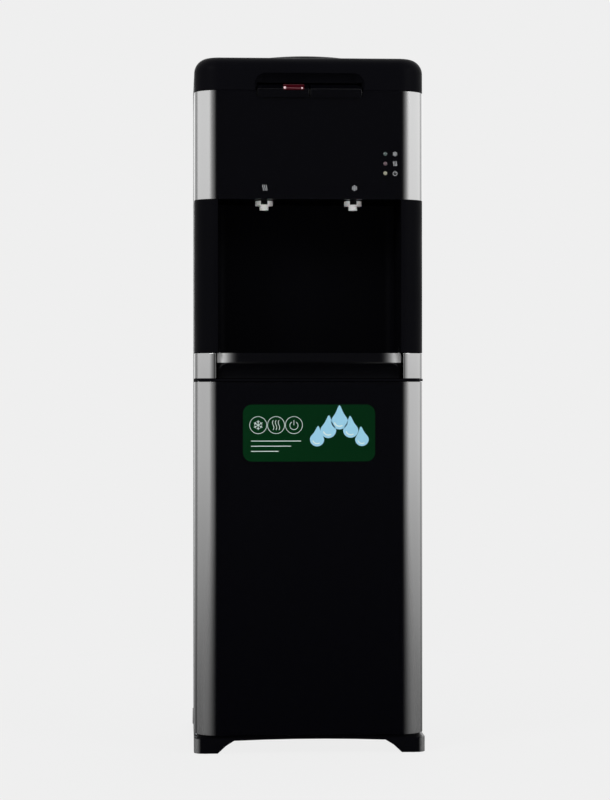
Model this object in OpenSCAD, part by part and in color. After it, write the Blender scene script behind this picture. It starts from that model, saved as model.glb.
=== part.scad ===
/* [Cabinet] */
// Width of the cabinet
body_w = 310; // [300:1:360]
// Depth of the cabinet, from its front face to its rear face
body_d = 290; // [286:1:340]
// Radius of the upright front corners
corner_r = 34; // [26:1:36]
// Radius of the upright rear corners
rear_r = 20; // [20:1:26]
// Wall of the plastic mouldings
shell_t = 2.5; // [2:0.1:3]
// Thickness of the steel sheets
sheet_t = 1; // [0.8:0.1:1.2]
// How far the front mouldings reach round the sides
wrap_d = 70; // [66:1:80]
// Space behind the cabinet for the condenser
rear_space = 32; // [30:1:45]
// Seam between neighbouring covers
seam = 0.6; // [0.4:0.1:0.8]

/* [Heights] */
// Height of the base with its feet
base_h = 24; // [22:1:32]
// Height of the cabinet door
door_h = 475; // [440:1:560]
// Gap above and below the door
door_gap = 1; // [0.8:0.1:1.5]
// Thickness of the deck above the door
deck_t = 3; // [2.5:0.5:4]
// Height of the drip tray band
band_h = 35; // [33:1:42]
// Height of the dispensing bay
bay_h = 207; // [180:1:250]
// Height of the upper front panel
panel_h = 146; // [140:1:176]
// Height of the top cover
cover_h = 46; // [42:1:54]
// How far the bottle collar stands above the top cover
collar_rise = 12; // [10:1:20]

/* [Base] */
// Width of a foot where it meets the floor
foot_w = 32; // [28:1:40]
// Corner radius of the base
foot_r = 12; // [6:1:14]
// How far the base stands out beyond the cabinet
base_proud = 1; // [0.5:0.1:1.5]
// Radius of the rubber pads
pad_r = 11; // [8:0.5:12]

/* [Door] */
// Depth of the door
door_d = 46; // [42:1:50]
// Gap between the door and the cabinet frame
frame_gap = 4.5; // [4.4:0.1:6]
// Radius of the hinge pins
pin_r = 2.5; // [2:0.1:3]
// Width of the label on the door
label_w = 178; // [120:1:220]
// Height of the label on the door
label_h = 76.5; // [50:0.5:100]

/* [Cabinet compartment] */
// Width inside the compartment
room_w = 264; // [240:1:270]
// Height of the step over the compressor
step_h = 192; // [186:1:210]
// Depth of the compressor bay
bay_rear_d = 122; // [120:1:130]

/* [Dispensing bay] */
// Width of the bay opening
bay_w = 247; // [220:1:254]
// Depth of the bay
bay_d = 116; // [110:1:122]
// Radius of the bay's rear corners
bay_r = 14; // [8:1:20]
// Distance from the middle to each tap
tap_x = 60.4; // [50:0.2:66]
// Distance of the taps behind the front face
tap_y = 34; // [30:1:38]

/* [Keys] */
// Width over both keys
keys_w = 140; // [130:1:146]
// How far the keys stand out in front of the panel
key_proud = 3; // [2.8:0.1:4]
// Angle through which a key is pressed
key_turn = 6; // [4:0.5:6]
// Distance from the front face to the key pivot
pivot_y = 66; // [62:1:68]

/* [Tanks] */
// Radius of the cold tank
cold_r = 70; // [60:1:72]
// Radius of the hot tank
hot_r = 45; // [38:1:48]
// Thickness of the foam round the cold tank
foam_t = 20; // [16:1:20]

/* [Bottle seat] */
// Distance from the front face to the middle of the bottle collar
collar_dist = 165; // [163:1:170]
// Outer radius of the collar rim
rim_r = 81; // [76:0.5:86]
// Radius of the guide for the bottle neck
neck_r = 30; // [28:0.5:33]

/* [Hidden] */
$fn = 72;

// Depths: the rearmost plane is the base's, the foremost is the keys'
overall_d = key_proud + body_d + rear_space;
front_y = -overall_d / 2 + key_proud;
rear_y = front_y + body_d;
back_y = overall_d / 2;
half_w = body_w / 2;

// Heights of the seams, from the floor up
door_z0 = base_h + door_gap;
door_z1 = door_z0 + door_h;
deck_z0 = door_z1 + door_gap;
deck_z1 = deck_z0 + deck_t;
bay_z0 = deck_z1 + band_h;
panel_z0 = bay_z0 + bay_h;
cover_z0 = panel_z0 + panel_h;
cover_z1 = cover_z0 + cover_h;
rim_z = cover_z1 + collar_rise;

fit = 0.3;        // clearance between neighbouring pieces
run = 0.06;       // radial clearance of a turning or sliding fit
cut = 1;          // how far a cutting shape runs past what it cuts

// Base
pad_show = 1;     // pad standing out under a foot
pad_h = 4;
neck_h = 3;       // set-back neck under the door
neck_in = 3;
shelf_z = base_h - neck_h;
arch_side = 18;   // height of the arch at its ends
arch_mid = 20;    // height of the arch at its middle
foot_slope = [11, 22];

// Cabinet compartment
frame_y = front_y + door_d + frame_gap;
liner_t = 2;
lip_t = 2.5;
room_z0 = base_h + 10;
room_z1 = deck_z0 - 12;
step_z = base_h + step_h;
step_y = rear_y - bay_rear_d;
room_back_y = rear_y - 2 * sheet_t - 20;

grip_z = (door_z0 + door_z1) / 2;
grip_h = 68;

// Bay, taps and drip tray
bay_x = bay_w / 2;
ceiling_z = panel_z0;
tap_z = ceiling_z + shell_t;
tray_x = bay_x + 0.8;
trim_x = tray_x + 2;
tray_z0 = deck_z1 + 2;
tray_top = bay_z0 - fit;
tray_d = bay_d - 4;
lip_h = 12;
scoop_d = 14;
tray_r = bay_r + 4;
lip_r = 40;

// Keys
key_gap = 2.4;
key_w = (keys_w - key_gap) / 2;
slot_x = keys_w / 2 + 0.8;
bracket_x = tap_x + 18;
pivot_pos = [0, front_y + pivot_y, cover_z0 - 12];
rod_r = 2;
key_bottom = cover_z0 - 10;
key_face_top = cover_z0 + 3;
key_top = cover_z0 + 9.5;
slot_top = cover_z0 + 11.5;
scoop_y = 12;
scoop_r = 16;
pad_z = cover_z0 - 8;
lever = pivot_y - tap_y;
stroke = lever * sin(key_turn);

// Faucet levels above the bay ceiling
seat_z0 = tap_z + 22;
seat_z1 = tap_z + 25;
chamber_z = tap_z + 6;
faucet_top = tap_z + 48;
inlet_z = tap_z + 35;
neck_z = ceiling_z - 5.6;
nozzle_z = ceiling_z - 13;
stem_r = 2.5;
plug_r = 6.5;

// Bottle seat and tanks
collar_y = front_y + collar_dist;
collar_hole_r = rim_r - 2.7;
socket_z = cover_z0 - 26;
guide_z0 = cover_z0 + 16;
guide_z1 = cover_z0 + 38;
socket_r = neck_r - 2;
probe_r = 9.5;
cold_z0 = tap_z + 16;
cold_z1 = cover_z0 - 42;
foam_z1 = cover_z0 - 36;
hot_y = front_y + bay_d + shell_t + 86;
hot_z0 = deck_z1 + 26;
hot_z1 = hot_z0 + 140;

// Door hinge
hinge_pos = [-half_w + 7, front_y + door_d - 8, 0];
boss_r = 4.5;

// Rear fittings
coil_y = rear_y + 18;
coil_tube_r = 2.4;
coil_pitch = 24;
coil_rows = 11;
coil_x = 116;
coil_z0 = step_z + 24;
wire_r = 0.8;
wire_pitch = 9;
switch_pos = [84, rear_y, cover_z0 - 48];
switch_half = 16;
drain_pos = [-22, rear_y, hot_z0 + 10];
out_x = 24;
feed_pos = [22, hot_y];
riser_pos = [-64, rear_y - 13];
hot_side_pos = [-half_w + 24, front_y + bay_d + shell_t + 14];
pipe_r = 3;
evap_turns = 5;
evap_rise = 5.8;
evap_z1 = inlet_z + 12 + evap_turns * evap_rise;
gland_pos = [70, rear_y, deck_z1 + 36];
screw_r = 1.7;
bolt_r = 3;
comp_pos = [-16, rear_y - 61, base_h + 14];
tab_w = 12;
tab_t = 2;
label_t = 0.3;
label_r = 12;
grille_t = 3;
neck_out = 11;
edge_r = 20;
lock_x = [-35.5, -7.6];
lock_z = cover_z0 + 0.3;
lock_d = 9;
lock_travel = 4;
comp_r = 54;
rocker_turn = 8;
lamp_r = 2.6;
lamp_x = 102;
lamp_z = panel_z0 + 61;
lamp_pitch = 13;

black = [0.06, 0.06, 0.07];
gloss = [0.03, 0.03, 0.04];
steel = [0.75, 0.76, 0.78];

// ---------- outlines ----------

// Rectangle of half width x from y0 to y1, front corners rf and rear corners rr
module round_rect(x, y0, y1, rf, rr) {
  for (s = [-1, 1]) {
    if (rf > 0) translate([s * (x - rf), y0 + rf]) circle(rf);
    if (rr > 0) translate([s * (x - rr), y1 - rr]) circle(rr);
  }
  translate([-x + rf, y0]) square([2 * (x - rf), y1 - y0 - rr]);
  translate([-x, y0 + rf]) square([2 * x, y1 - y0 - rf - rr]);
  translate([-x + rr, y0 + rf]) square([2 * (x - rr), y1 - y0 - rf]);
}

// Plan of the cabinet, set in by a distance
module body_outline(inset = 0) {
  round_rect(half_w - inset, front_y + inset, rear_y - inset, corner_r - inset, rear_r - inset);
}

// Part of the plan in front of a line
module body_front(inset, y) {
  intersection() {
    body_outline(inset);
    translate([-body_w, front_y - 10]) square([2 * body_w, y - front_y + 10]);
  }
}

// Skin that wraps round the front corners
module wrap_skin(depth, t = shell_t) {
  difference() {
    body_front(0, front_y + depth);
    body_outline(t);
  }
}

// Extrusion between two heights
module slab(z0, z1) {
  translate([0, 0, z0]) linear_extrude(z1 - z0) children();
}

// Block between two corners
module block(a, b) {
  translate(a) cube(b - a);
}

// Bar along X, drawn as a [y, z] outline
module along_x(x0, x1) {
  translate([x0, 0, 0]) rotate([90, 0, 90]) linear_extrude(x1 - x0) children();
}

// Bar along Y, drawn as an [x, z] outline
module along_y(y0, y1) {
  translate([0, y1, 0]) rotate([90, 0, 0]) linear_extrude(y1 - y0) children();
}

// Round bar along Y from a point
module rod_y(p, r, length) {
  translate(p) rotate([-90, 0, 0]) cylinder(r = r, h = length);
}

// Round bar along X, centred on a point
module rod_x(p, r, length) {
  translate(p) rotate([0, 90, 0]) cylinder(r = r, h = length, center = true);
}

// ---------- tubes along a route ----------

function unit(v) = v / norm(v);
function heading(p, i) = unit(p[min(i + 1, len(p) - 1)] - p[max(i - 1, 0)]);
function bend(a, c, b, r, steps) =
  let (p = c + r * unit(a - c), q = c + r * unit(b - c))
  [for (s = [0:steps]) let (t = s / steps) (1 - t) * (1 - t) * p + 2 * t * (1 - t) * c + t * t * q];
function route(p, r, steps = 4) = concat(
  [p[0]],
  [for (i = [1:len(p) - 2]) each bend(p[i - 1], p[i], p[i + 1], r, steps)],
  [p[len(p) - 1]]);
function coil(r, rise, turns, n) =
  [for (i = [0:turns * n]) [r * cos(360 * i / n), r * sin(360 * i / n), rise * i / n]];

// Solid tube along a list of points
module sweep(path, r, sides = 8) {
  n = len(path);
  skew = [0.31, -0.44, 0.84];
  points = [for (i = [0:n - 1])
    let (t = heading(path, i), a = unit(cross(t, skew)), b = cross(t, a))
    for (k = [0:sides - 1]) path[i] + r * (cos(360 * k / sides) * a + sin(360 * k / sides) * b)];
  walls = [for (i = [0:n - 2]) for (k = [0:sides - 1])
    let (m = (k + 1) % sides)
    each [[i * sides + k, (i + 1) * sides + k, (i + 1) * sides + m],
          [i * sides + k, (i + 1) * sides + m, i * sides + m]]];
  start = [for (k = [0:sides - 1]) k];
  end = [for (k = [sides - 1:-1:0]) (n - 1) * sides + k];
  polyhedron(points = points, faces = concat(walls, [start, end]), convexity = 6);
}

// ---------- base ----------

// Opening between two feet, seen from the side it faces, for a base this wide
module foot_arch(width) {
  a = width / 2 - foot_w;
  reach = a - foot_slope[1];
  rise = arch_mid - arch_side;
  arc_r = (reach * reach + rise * rise) / (2 * rise);
  arc_a = asin(reach / arc_r);
  polygon(concat(
    [[-a, -cut], [-a, pad_show], [-a + foot_slope[0], arch_side * 0.62]],
    [for (k = [-1:0.2:1.01]) [arc_r * sin(k * arc_a), arch_mid - arc_r + arc_r * cos(k * arc_a)]],
    [[a - foot_slope[0], arch_side * 0.62], [a, pad_show], [a, -cut]]));
}

module base_outline(inset) {
  y0 = front_y - base_proud + inset;
  round_rect(half_w + base_proud - inset, y0, back_y - inset, foot_r - inset, foot_r - inset);
}

module foot_places() {
  for (x = [-1, 1]) for (y = [front_y + 16, back_y - 17])
    translate([x * (half_w - 15), y, 0]) children();
}

module compressor_places() {
  for (x = [-1, 1]) for (y = [-1, 1])
    translate([comp_pos[0] + x * 62, comp_pos[1] + y * 36, 0]) children();
}

module base_pan() {
  color(black) difference() {
    union() {
      slab(pad_show, shelf_z) base_outline(0);
      slab(shelf_z - cut, base_h) body_outline(neck_in);
    }
    along_y(front_y - 10, back_y + 10) foot_arch(body_w + 2 * base_proud);
    translate([0, (front_y + back_y) / 2, 0]) along_x(-body_w, body_w) foot_arch(back_y - front_y);
    foot_places() translate([0, 0, -cut]) cylinder(r = pad_r + fit, h = pad_h + cut);
    compressor_places() cylinder(r = bolt_r + run, h = base_h + cut);
    translate([hinge_pos[0], hinge_pos[1], base_h - 2]) cylinder(r = 6 + fit, h = 2 + cut);
  }
}

module foot_pads() {
  color([0.12, 0.12, 0.12]) foot_places() cylinder(r = pad_r, h = pad_h);
}

// ---------- cabinet panels ----------

// Plan of the left side panel: straight side, rear bend and flange
module side_plan() {
  difference() {
    intersection() {
      body_outline(0);
      translate([-body_w, front_y + wrap_d + fit]) square([body_w - half_w + rear_r + 12, body_d]);
    }
    body_outline(sheet_t);
  }
}

// Louvres beside the compressor
module side_vents() {
  for (k = [0:6]) translate([0, comp_pos[1] - 34, base_h + 34 + k * 16]) {
    rod_x([0, 0, 0], 3, body_w + 10);
    rod_x([0, 60, 0], 3, body_w + 10);
    block([-half_w - 5, 0, -3], [half_w + 5, 60, 3]);
  }
}

module side_panel() {
  difference() {
    slab(shelf_z + fit, cover_z0 - seam / 2) side_plan();
    side_vents();
    rear_screw_places() rod_y([0, -10, 0], screw_r + run, 20);
  }
}

module left_side_panel() {
  color([0.1, 0.1, 0.11]) side_panel();
}

module right_side_panel() {
  color([0.1, 0.1, 0.11]) mirror([1, 0, 0]) side_panel();
}

module rear_screw_places() {
  x = half_w - rear_r - 6;
  for (s = [-1, 1]) for (k = [0:4])
    translate([s * x, rear_y, step_z + 14 + k * (cover_z0 - step_z - 28) / 4]) children();
}

module rear_panel() {
  x = half_w - rear_r - 1;
  y0 = rear_y - 2 * sheet_t;
  color([0.14, 0.14, 0.15]) difference() {
    union() {
      block([-x, y0, step_z + 2], [x, rear_y - sheet_t, cover_z0 - seam / 2]);
      block([-x, y0 - 4, step_z + 2], [x, y0 + sheet_t / 2, step_z + 2 + sheet_t]);
    }
    rear_screw_places() rod_y([0, -10, 0], screw_r + run, 20);
    block([switch_pos[0] - 21, y0 - cut, switch_pos[2] - 13],
          [switch_pos[0] + 21, rear_y + cut, switch_pos[2] + 13]);
    rod_y([drain_pos[0], y0 - cut, drain_pos[2]], 8 + fit, 10);
    rod_y([gland_pos[0], y0 - cut, gland_pos[2]], 7 + fit, 10);
    for (k = [0:5]) vent_row(k);
  }
}

// One row of slots in the rear panel, above the condenser
module vent_row(k) {
  z = panel_z0 - 96 + k * 13;
  for (x = [-78, -26, 26, 78]) block([x - 20, rear_y - 10, z], [x + 20, rear_y + 5, z + 4]);
}

module middle_deck() {
  color(black) difference() {
    slab(deck_z0, deck_z1) {
      body_front(-0.8, front_y + wrap_d);
      intersection() {
        body_front(sheet_t + fit, rear_y - 2 * sheet_t - fit);
        translate([-body_w, front_y + wrap_d - cut]) square([2 * body_w, body_d]);
      }
    }
    block([hinge_pos[0] - tab_w / 2 - fit, hinge_pos[1] - tab_w / 2 - fit, deck_z0 - cut],
          [hinge_pos[0] + tab_w / 2 + fit, front_y + wrap_d, deck_z0 + tab_t]);
    translate([riser_pos[0], riser_pos[1], deck_z0 - cut]) cylinder(r = pipe_r + 2, h = deck_t + 2 * cut);
  }
}

// ---------- storage compartment ----------

// Side outline [y, z] of the compartment, grown by a wall
module room_side(g) {
  polygon([[frame_y, room_z0 - g], [step_y - g, room_z0 - g], [step_y - g, step_z + 6 - g],
           [room_back_y + g, step_z + 6 - g], [room_back_y + g, room_z1 + g], [frame_y, room_z1 + g]]);
}

module cabinet_liner() {
  x = room_w / 2;
  z0 = base_h + fit;
  z1 = deck_z0 - fit;
  color([0.2, 0.2, 0.21]) difference() {
    union() {
      along_x(-x - liner_t, x + liner_t) room_side(liner_t);
      // frame round the opening, with a lip that meets the side panels
      slab(z0, z1) intersection() {
        body_outline(0);
        translate([-half_w, frame_y]) square([body_w, lip_t]);
      }
      for (s = [-1, 1]) block([s < 0 ? -half_w : half_w - lip_t, frame_y, z0],
                              [s < 0 ? -half_w + lip_t : half_w, front_y + wrap_d, z1]);
      block([half_w - 9 - liner_t, frame_y, grip_z - grip_h / 2 - liner_t],
            [half_w, frame_y + 12 + liner_t, grip_z + grip_h / 2 + liner_t]);
    }
    translate([0, -cut, 0]) along_x(-x, x) room_side(0);
    block([-x, frame_y - 2 * cut, room_z0], [x, frame_y + 5, room_z1]);
    // finger grip behind the free edge of the door
    block([half_w - 9, frame_y - cut, grip_z - grip_h / 2],
          [half_w + cut, frame_y + 12, grip_z + grip_h / 2]);
    // seats of the hinge plates
    block([hinge_pos[0] - 10, frame_y - cut, deck_z0 - 2],
          [hinge_pos[0] + 10, front_y + wrap_d + cut, deck_z0]);
  }
}

// ---------- door ----------

module door_panel() {
  color(gloss) difference() {
    union() {
      slab(door_z0, door_z1) wrap_skin(door_d);
      slab(door_z0, door_z0 + shell_t) body_front(0, front_y + door_d);
      slab(door_z1 - shell_t, door_z1) body_front(0, front_y + door_d);
      for (z = [door_z0, door_z1 - 14])
        translate([hinge_pos[0], hinge_pos[1], z]) cylinder(r = boss_r, h = 14);
      // stiffening ribs behind the front skin
      for (z = [0.25, 0.5, 0.75]) slab(door_z0 + z * door_h - 1, door_z0 + z * door_h + 1)
        body_front(shell_t - 0.1, front_y + 12);
    }
    translate([hinge_pos[0], hinge_pos[1], door_z0 - cut]) cylinder(r = pin_r + run, h = 11 + cut);
    translate([hinge_pos[0], hinge_pos[1], door_z1 - 11]) cylinder(r = pin_r + run, h = 11 + cut);
  }
}

module door_liner() {
  x = half_w - shell_t - fit;
  y0 = front_y + door_d - liner_t;
  z0 = door_z0 + shell_t + fit;
  z1 = door_z1 - shell_t - fit;
  pan = [x - 34, 44];
  color([0.16, 0.16, 0.17]) difference() {
    union() {
      block([-x, y0, z0], [x, y0 + liner_t, z1]);
      block([-pan[0] - liner_t, y0 - 12, z0 + pan[1] - liner_t],
            [pan[0] + liner_t, y0 + 1, z1 - pan[1] + liner_t]);
    }
    block([-pan[0], y0 - 12 + liner_t, z0 + pan[1]], [pan[0], y0 + 5, z1 - pan[1]]);
    // clear of the hinge bosses
    for (z = [z0 - cut, z1 - 14]) block([-x - cut, y0 - cut, z], [-x + 12, y0 + 5, z + 14 + cut]);
  }
}

module door_label() {
  z = door_z0 + door_h * 0.855;
  color([0.02, 0.3, 0.14]) along_y(front_y - label_t, front_y) translate([-1, z])
    round_rect(label_w / 2, -label_h / 2, label_h / 2, label_r, label_r);
}

// Magnet block on the frame, inside the free upper corner of the opening
module door_catch() {
  x = room_w / 2 + 5;
  color([0.85, 0.85, 0.83]) difference() {
    block([x, frame_y - 3.6, door_z1 - 90], [x + 10, frame_y, door_z1 - 50]);
    for (z = [door_z1 - 84, door_z1 - 56]) rod_y([x + 5, frame_y - 4, z], 1.5, 2);
  }
}

module top_hinge() {
  color(steel) {
    block([hinge_pos[0] - tab_w / 2, hinge_pos[1] - tab_w / 2, deck_z0 + 0.2],
          [hinge_pos[0] + tab_w / 2, front_y + wrap_d - 1, deck_z0 + tab_t]);
    translate([hinge_pos[0], hinge_pos[1], door_z1 - 10]) cylinder(r = pin_r, h = 10 + door_gap + 1);
  }
}

module bottom_hinge() {
  color(steel) translate([hinge_pos[0], hinge_pos[1], base_h - 2]) {
    cylinder(r = 6, h = 2);
    cylinder(r = pin_r, h = 2 + door_gap + 10);
  }
}

// ---------- drip tray band ----------

module band_trims() {
  color(gloss) for (m = [0, 1]) mirror([m, 0, 0]) slab(deck_z1 + fit, bay_z0 - fit) {
    difference() {
      wrap_skin(wrap_d);
      translate([-trim_x, front_y - 5]) square([half_w + trim_x + 5, body_d]);
    }
    translate([-trim_x - shell_t, front_y + 1.2]) square([shell_t, 21]);
  }
}

// Open-fronted channel that the drip tray slides in
module tray_housing() {
  x = bay_x - 0.5;
  y0 = front_y + scoop_d + 3.6;
  y1 = front_y + bay_d;
  color(black) {
    block([-x - 2, y0, deck_z1], [x + 2, y1 + 2, deck_z1 + 1.5]);
    block([-x - 2, y1, deck_z1], [x + 2, y1 + 2, bay_z0 - fit]);
    for (m = [0, 1]) mirror([m, 0, 0]) block([x, y0 + 6, deck_z1], [x + 2, y1 + 1, bay_z0 - fit]);
  }
}

module drip_tray() {
  x = bay_x - 2;
  y0 = front_y + scoop_d + 1;
  y1 = front_y + tray_d;
  wall = 2;
  lip_z = tray_top - lip_h;
  color([0.07, 0.07, 0.08]) {
    difference() {
      union() {
        // front with its lip, curved back at both ends, and the basin behind it
        slab(deck_z1 + 0.9, tray_top) intersection() {
          round_rect(tray_x + 9, front_y, front_y + 2 * lip_r, lip_r, 0);
          translate([-tray_x, front_y]) square([2 * tray_x, y0 + wall - front_y]);
        }
        slab(tray_z0, tray_top) round_rect(x, y0, y1, 0, tray_r);
      }
      // finger scoop under the lip
      along_y(front_y - cut, front_y + 4) round_rect(tray_x - 2.3, deck_z1 - 9, lip_z, 0, 5);
      intersection() {
        block([-tray_x + 2.3, front_y - cut, deck_z1 - cut], [tray_x - 2.3, front_y + scoop_d, lip_z]);
        along_x(-tray_x, tray_x) translate([front_y - 4, lip_z - 18]) circle(18);
      }
      slab(tray_z0 + wall, tray_top + cut) round_rect(x - wall, y0 + wall, y1 - wall, 0, tray_r - wall);
      // ledge for the grille
      slab(tray_top - grille_t, tray_top + cut) round_rect(x - 1, y0 + 1, y1 - 1, 0, tray_r - 1);
    }
    // tab at each front corner, which keeps the grille from creeping forward
    for (s = [-1, 1]) translate([s < 0 ? -tray_x + 2.2 : tray_x - 4, 0, 0])
      block([0, y0 - 2.6, tray_top - 0.5], [1.8, y0 + 0.9, tray_top + 7.5]);
  }
}

module drip_grille() {
  x = bay_x - 3 - fit;
  y0 = front_y + scoop_d + 2 + fit;
  y1 = front_y + tray_d - 1 - fit;
  slots = 17;
  pitch = (2 * x - 16) / slots;
  color([0.1, 0.1, 0.11]) slab(tray_top - grille_t, tray_top - 0.2) difference() {
    round_rect(x, y0, y1, 0, tray_r - 1 - fit);
    for (k = [0:slots - 1]) for (row = [0, 1])
      translate([-x + 8 + (k + 0.5) * pitch, y0 + 7 + row * (y1 - y0 - 6) / 2])
        translate([-pitch * 0.28, 0]) square([pitch * 0.56, (y1 - y0) / 2 - 12]);
  }
}

// ---------- dispensing bay and front panel ----------

module bay_shell() {
  z0 = bay_z0 + fit;
  z1 = panel_z0 - fit;
  color(black) difference() {
    union() {
      slab(z0, z1) wrap_skin(wrap_d);
      slab(z0, tap_z) intersection() {
        round_rect(bay_x + shell_t, front_y, front_y + bay_d + shell_t, 0, bay_r + shell_t);
        body_outline(0);
      }
      slab(ceiling_z + fit, tap_z) body_front(shell_t + fit, front_y + bay_d + shell_t);
    }
    slab(z0 - cut, ceiling_z) round_rect(bay_x, front_y - cut, front_y + bay_d, 0, bay_r);
    slab(z1, tap_z + cut) difference() {
      square(3 * body_w, center = true);
      body_front(shell_t + fit, front_y + bay_d + shell_t + 1);
    }
    for (s = [-1, 1])
      translate([s * tap_x, front_y + tap_y, ceiling_z - cut]) cylinder(r = neck_out + fit, h = 5);
  }
}

module lamp_places() {
  for (k = [0:2]) translate([lamp_x, front_y, lamp_z - k * lamp_pitch]) children();
}

module upper_front_panel() {
  z0 = panel_z0 - fit + 0.1;
  z1 = cover_z0 - seam / 2;
  color(gloss) difference() {
    union() {
      slab(z0, z1) wrap_skin(wrap_d);
      // lugs that hold the key bracket
      for (x = [-bracket_x - 12.4, bracket_x + 6.4])
        block([x, front_y + 1, z1 - 30], [x + 6, front_y + 12, z1 - 2]);
    }
    block([-slot_x, front_y - cut, key_bottom + 2.3], [slot_x, front_y + shell_t + cut, z1 + cut]);
    lamp_places() rod_y([0, -cut, 0], lamp_r + 0.1, 6);
  }
}

// ---------- top cover ----------

// Disc whose upper edge is rounded, for one corner of the cover
module crown_disc(rc, rt) {
  rotate_extrude() {
    square([rc - rt + 0.01, rt]);
    translate([rc - rt, 0]) intersection() {
      circle(rt);
      square(rt);
    }
  }
}

// Outline of a rounded bar: quarter circle on a rectangle
module crown_bar(rt) {
  translate([rt, 0]) intersection() {
    circle(rt);
    translate([-rt, 0]) square(rt);
  }
}

// Cover shape, set in by g, with its upper edge rounded
module crown(g, z0, z1) {
  rf = corner_r - g;
  rr = rear_r - g;
  rt = edge_r - g;
  x = half_w - g;
  y0 = front_y + g;
  y1 = rear_y - g;
  ze = z1 - rt;
  slab(z0, ze) body_outline(g);
  translate([0, 0, ze]) {
    for (s = [-1, 1]) {
      translate([s * (x - rf), y0 + rf, 0]) crown_disc(rf, rt);
      translate([s * (x - rr), y1 - rr, 0]) crown_disc(rr, rt);
    }
    along_x(-(x - rf), x - rf) translate([y0, 0]) crown_bar(rt);
    along_x(-(x - rr), x - rr) translate([y1, 0]) mirror([1, 0]) crown_bar(rt);
    along_y(y0 + rf, y1 - rr) {
      translate([-x, 0]) crown_bar(rt);
      translate([x, 0]) mirror([1, 0]) crown_bar(rt);
    }
    linear_extrude(rt) round_rect(x - rt, y0 + rt, y1 - rt, rf - rt, rr - rt);
  }
}

// Hollow for the fingers over the keys
module finger_scoop(r, x) {
  translate([0, front_y + scoop_y - scoop_r, cover_z0 + 8]) {
    rod_x([0, 0, 0], r, 2 * (x - scoop_y));
    for (s = [-1, 1]) translate([s * (x - scoop_y), 0, 0]) sphere(r);
  }
}

module top_cover() {
  z0 = cover_z0 + seam / 2;
  color(black) difference() {
    union() {
      difference() {
        crown(0, z0, cover_z1);
        crown(shell_t, z0 - cut, cover_z1 - shell_t);
      }
      intersection() {
        crown(0.2, z0, cover_z1 - 0.2);
        finger_scoop(scoop_r + shell_t, slot_x);
        block([-half_w, front_y, z0], [half_w, front_y + 40, cover_z1]);
      }
      translate([0, collar_y, cover_z1 - 12]) cylinder(r = collar_hole_r + 3, h = 12 - 0.2);
    }
    intersection() {
      finger_scoop(scoop_r, slot_x);
      block([-half_w, front_y - 5, z0 - cut], [half_w, front_y + scoop_y + 1, cover_z1]);
    }
    block([-slot_x, front_y - 5, z0 - cut], [slot_x, front_y + scoop_y + 8, slot_top]);
    translate([0, collar_y, z0 - cut]) cylinder(r = collar_hole_r, h = cover_h + 3);
  }
}

// ---------- bottle seat ----------

module bottle_collar() {
  under = cover_z1 + collar_rise / 3;
  color([0.13, 0.13, 0.14]) translate([0, collar_y, 0]) difference() {
    rotate_extrude() difference() {
      union() {
        // rim, skirt in the cover, dish, neck guide and socket
        translate([0, cover_z1 + fit]) square([rim_r, collar_rise - fit - 3]);
        translate([0, rim_z - 4]) square([rim_r - 3, 4]);
        translate([rim_r - 3, rim_z - 3]) circle(3, $fn = 32);
        translate([0, cover_z1 - 14]) square([collar_hole_r - 0.4, 16]);
        translate([0, socket_z]) square([neck_r + 3, cover_z1 - socket_z]);
      }
      // dish sloping to the neck
      polygon([[-1, guide_z1], [neck_r, guide_z1], [rim_r - 8, rim_z - 4], [rim_r - 7, rim_z + cut],
               [-1, rim_z + cut]]);
      translate([-1, guide_z0]) square([neck_r + 1, guide_z1 - guide_z0 + cut]);
      translate([-1, socket_z + 3]) square([socket_r + 1, guide_z0 - socket_z]);
      // hollow under the dish
      polygon([[neck_r + 3, socket_z - cut], [neck_r + 3, guide_z1 - 5], [rim_r - 11, under],
               [collar_hole_r - 3, under], [collar_hole_r - 3, socket_z - cut]]);
    }
    translate([0, 0, socket_z - cut]) cylinder(r = probe_r + 0.1, h = 5);
  }
}

module feed_probe() {
  tip = guide_z0 - 3;
  foot = socket_z - 28;
  color([0.9, 0.9, 0.88]) translate([0, collar_y, 0]) difference() {
    union() {
      translate([0, 0, foot]) cylinder(r = probe_r, h = tip - foot - probe_r);
      translate([0, 0, tip - probe_r]) sphere(probe_r);
      translate([0, 0, socket_z + 3]) cylinder(r = probe_r + 4, h = 2);
    }
    translate([0, 0, foot - cut]) cylinder(r = probe_r - 2.5, h = tip - foot - probe_r);
    // windows that let the water in
    for (a = [0, 90]) rotate([0, 0, a])
      block([-probe_r - 1, -2.5, tip - probe_r - 9], [probe_r + 1, 2.5, tip - probe_r - 2]);
  }
}

// ---------- keys ----------

// Cap of a key: skirt, sloping top and back, as a [y, z] outline
module key_side() {
  y = front_y;
  polygon([[y - key_proud, key_bottom], [y - 0.6, key_bottom], [y - 0.6, cover_z0 + 0.6],
           [y + scoop_y + 2, cover_z0 + 0.6], [y + scoop_y + 2, key_top], [y + scoop_y - 4, key_top - 1],
           [y - key_proud + 1.5, key_face_top], [y - key_proud, key_face_top - 1.5]]);
}

// Key on the +X side; the pivot boss and the pad over the push rod are part of its arm
module key_shape() {
  x0 = key_gap / 2;
  arm = 8;
  difference() {
    union() {
      intersection() {
        along_x(x0, x0 + key_w) key_side();
        along_y(front_y - 10, front_y + 40) translate([x0 + key_w / 2, 0])
          round_rect(key_w / 2, key_bottom, cover_z0 + 60, 4, 4);
      }
      block([tap_x - arm, front_y + scoop_y, pad_z], [tap_x + arm, pivot_pos[1] + 1, pad_z + 7]);
      block([tap_x - arm, front_y + scoop_y, pad_z], [tap_x + arm, front_y + scoop_y + 5, key_top - 1]);
      rod_x([tap_x, pivot_pos[1], pivot_pos[2]], 5.5, 2 * arm);
    }
    rod_x([tap_x, pivot_pos[1], pivot_pos[2]], rod_r + run, 3 * arm);
  }
}

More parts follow.
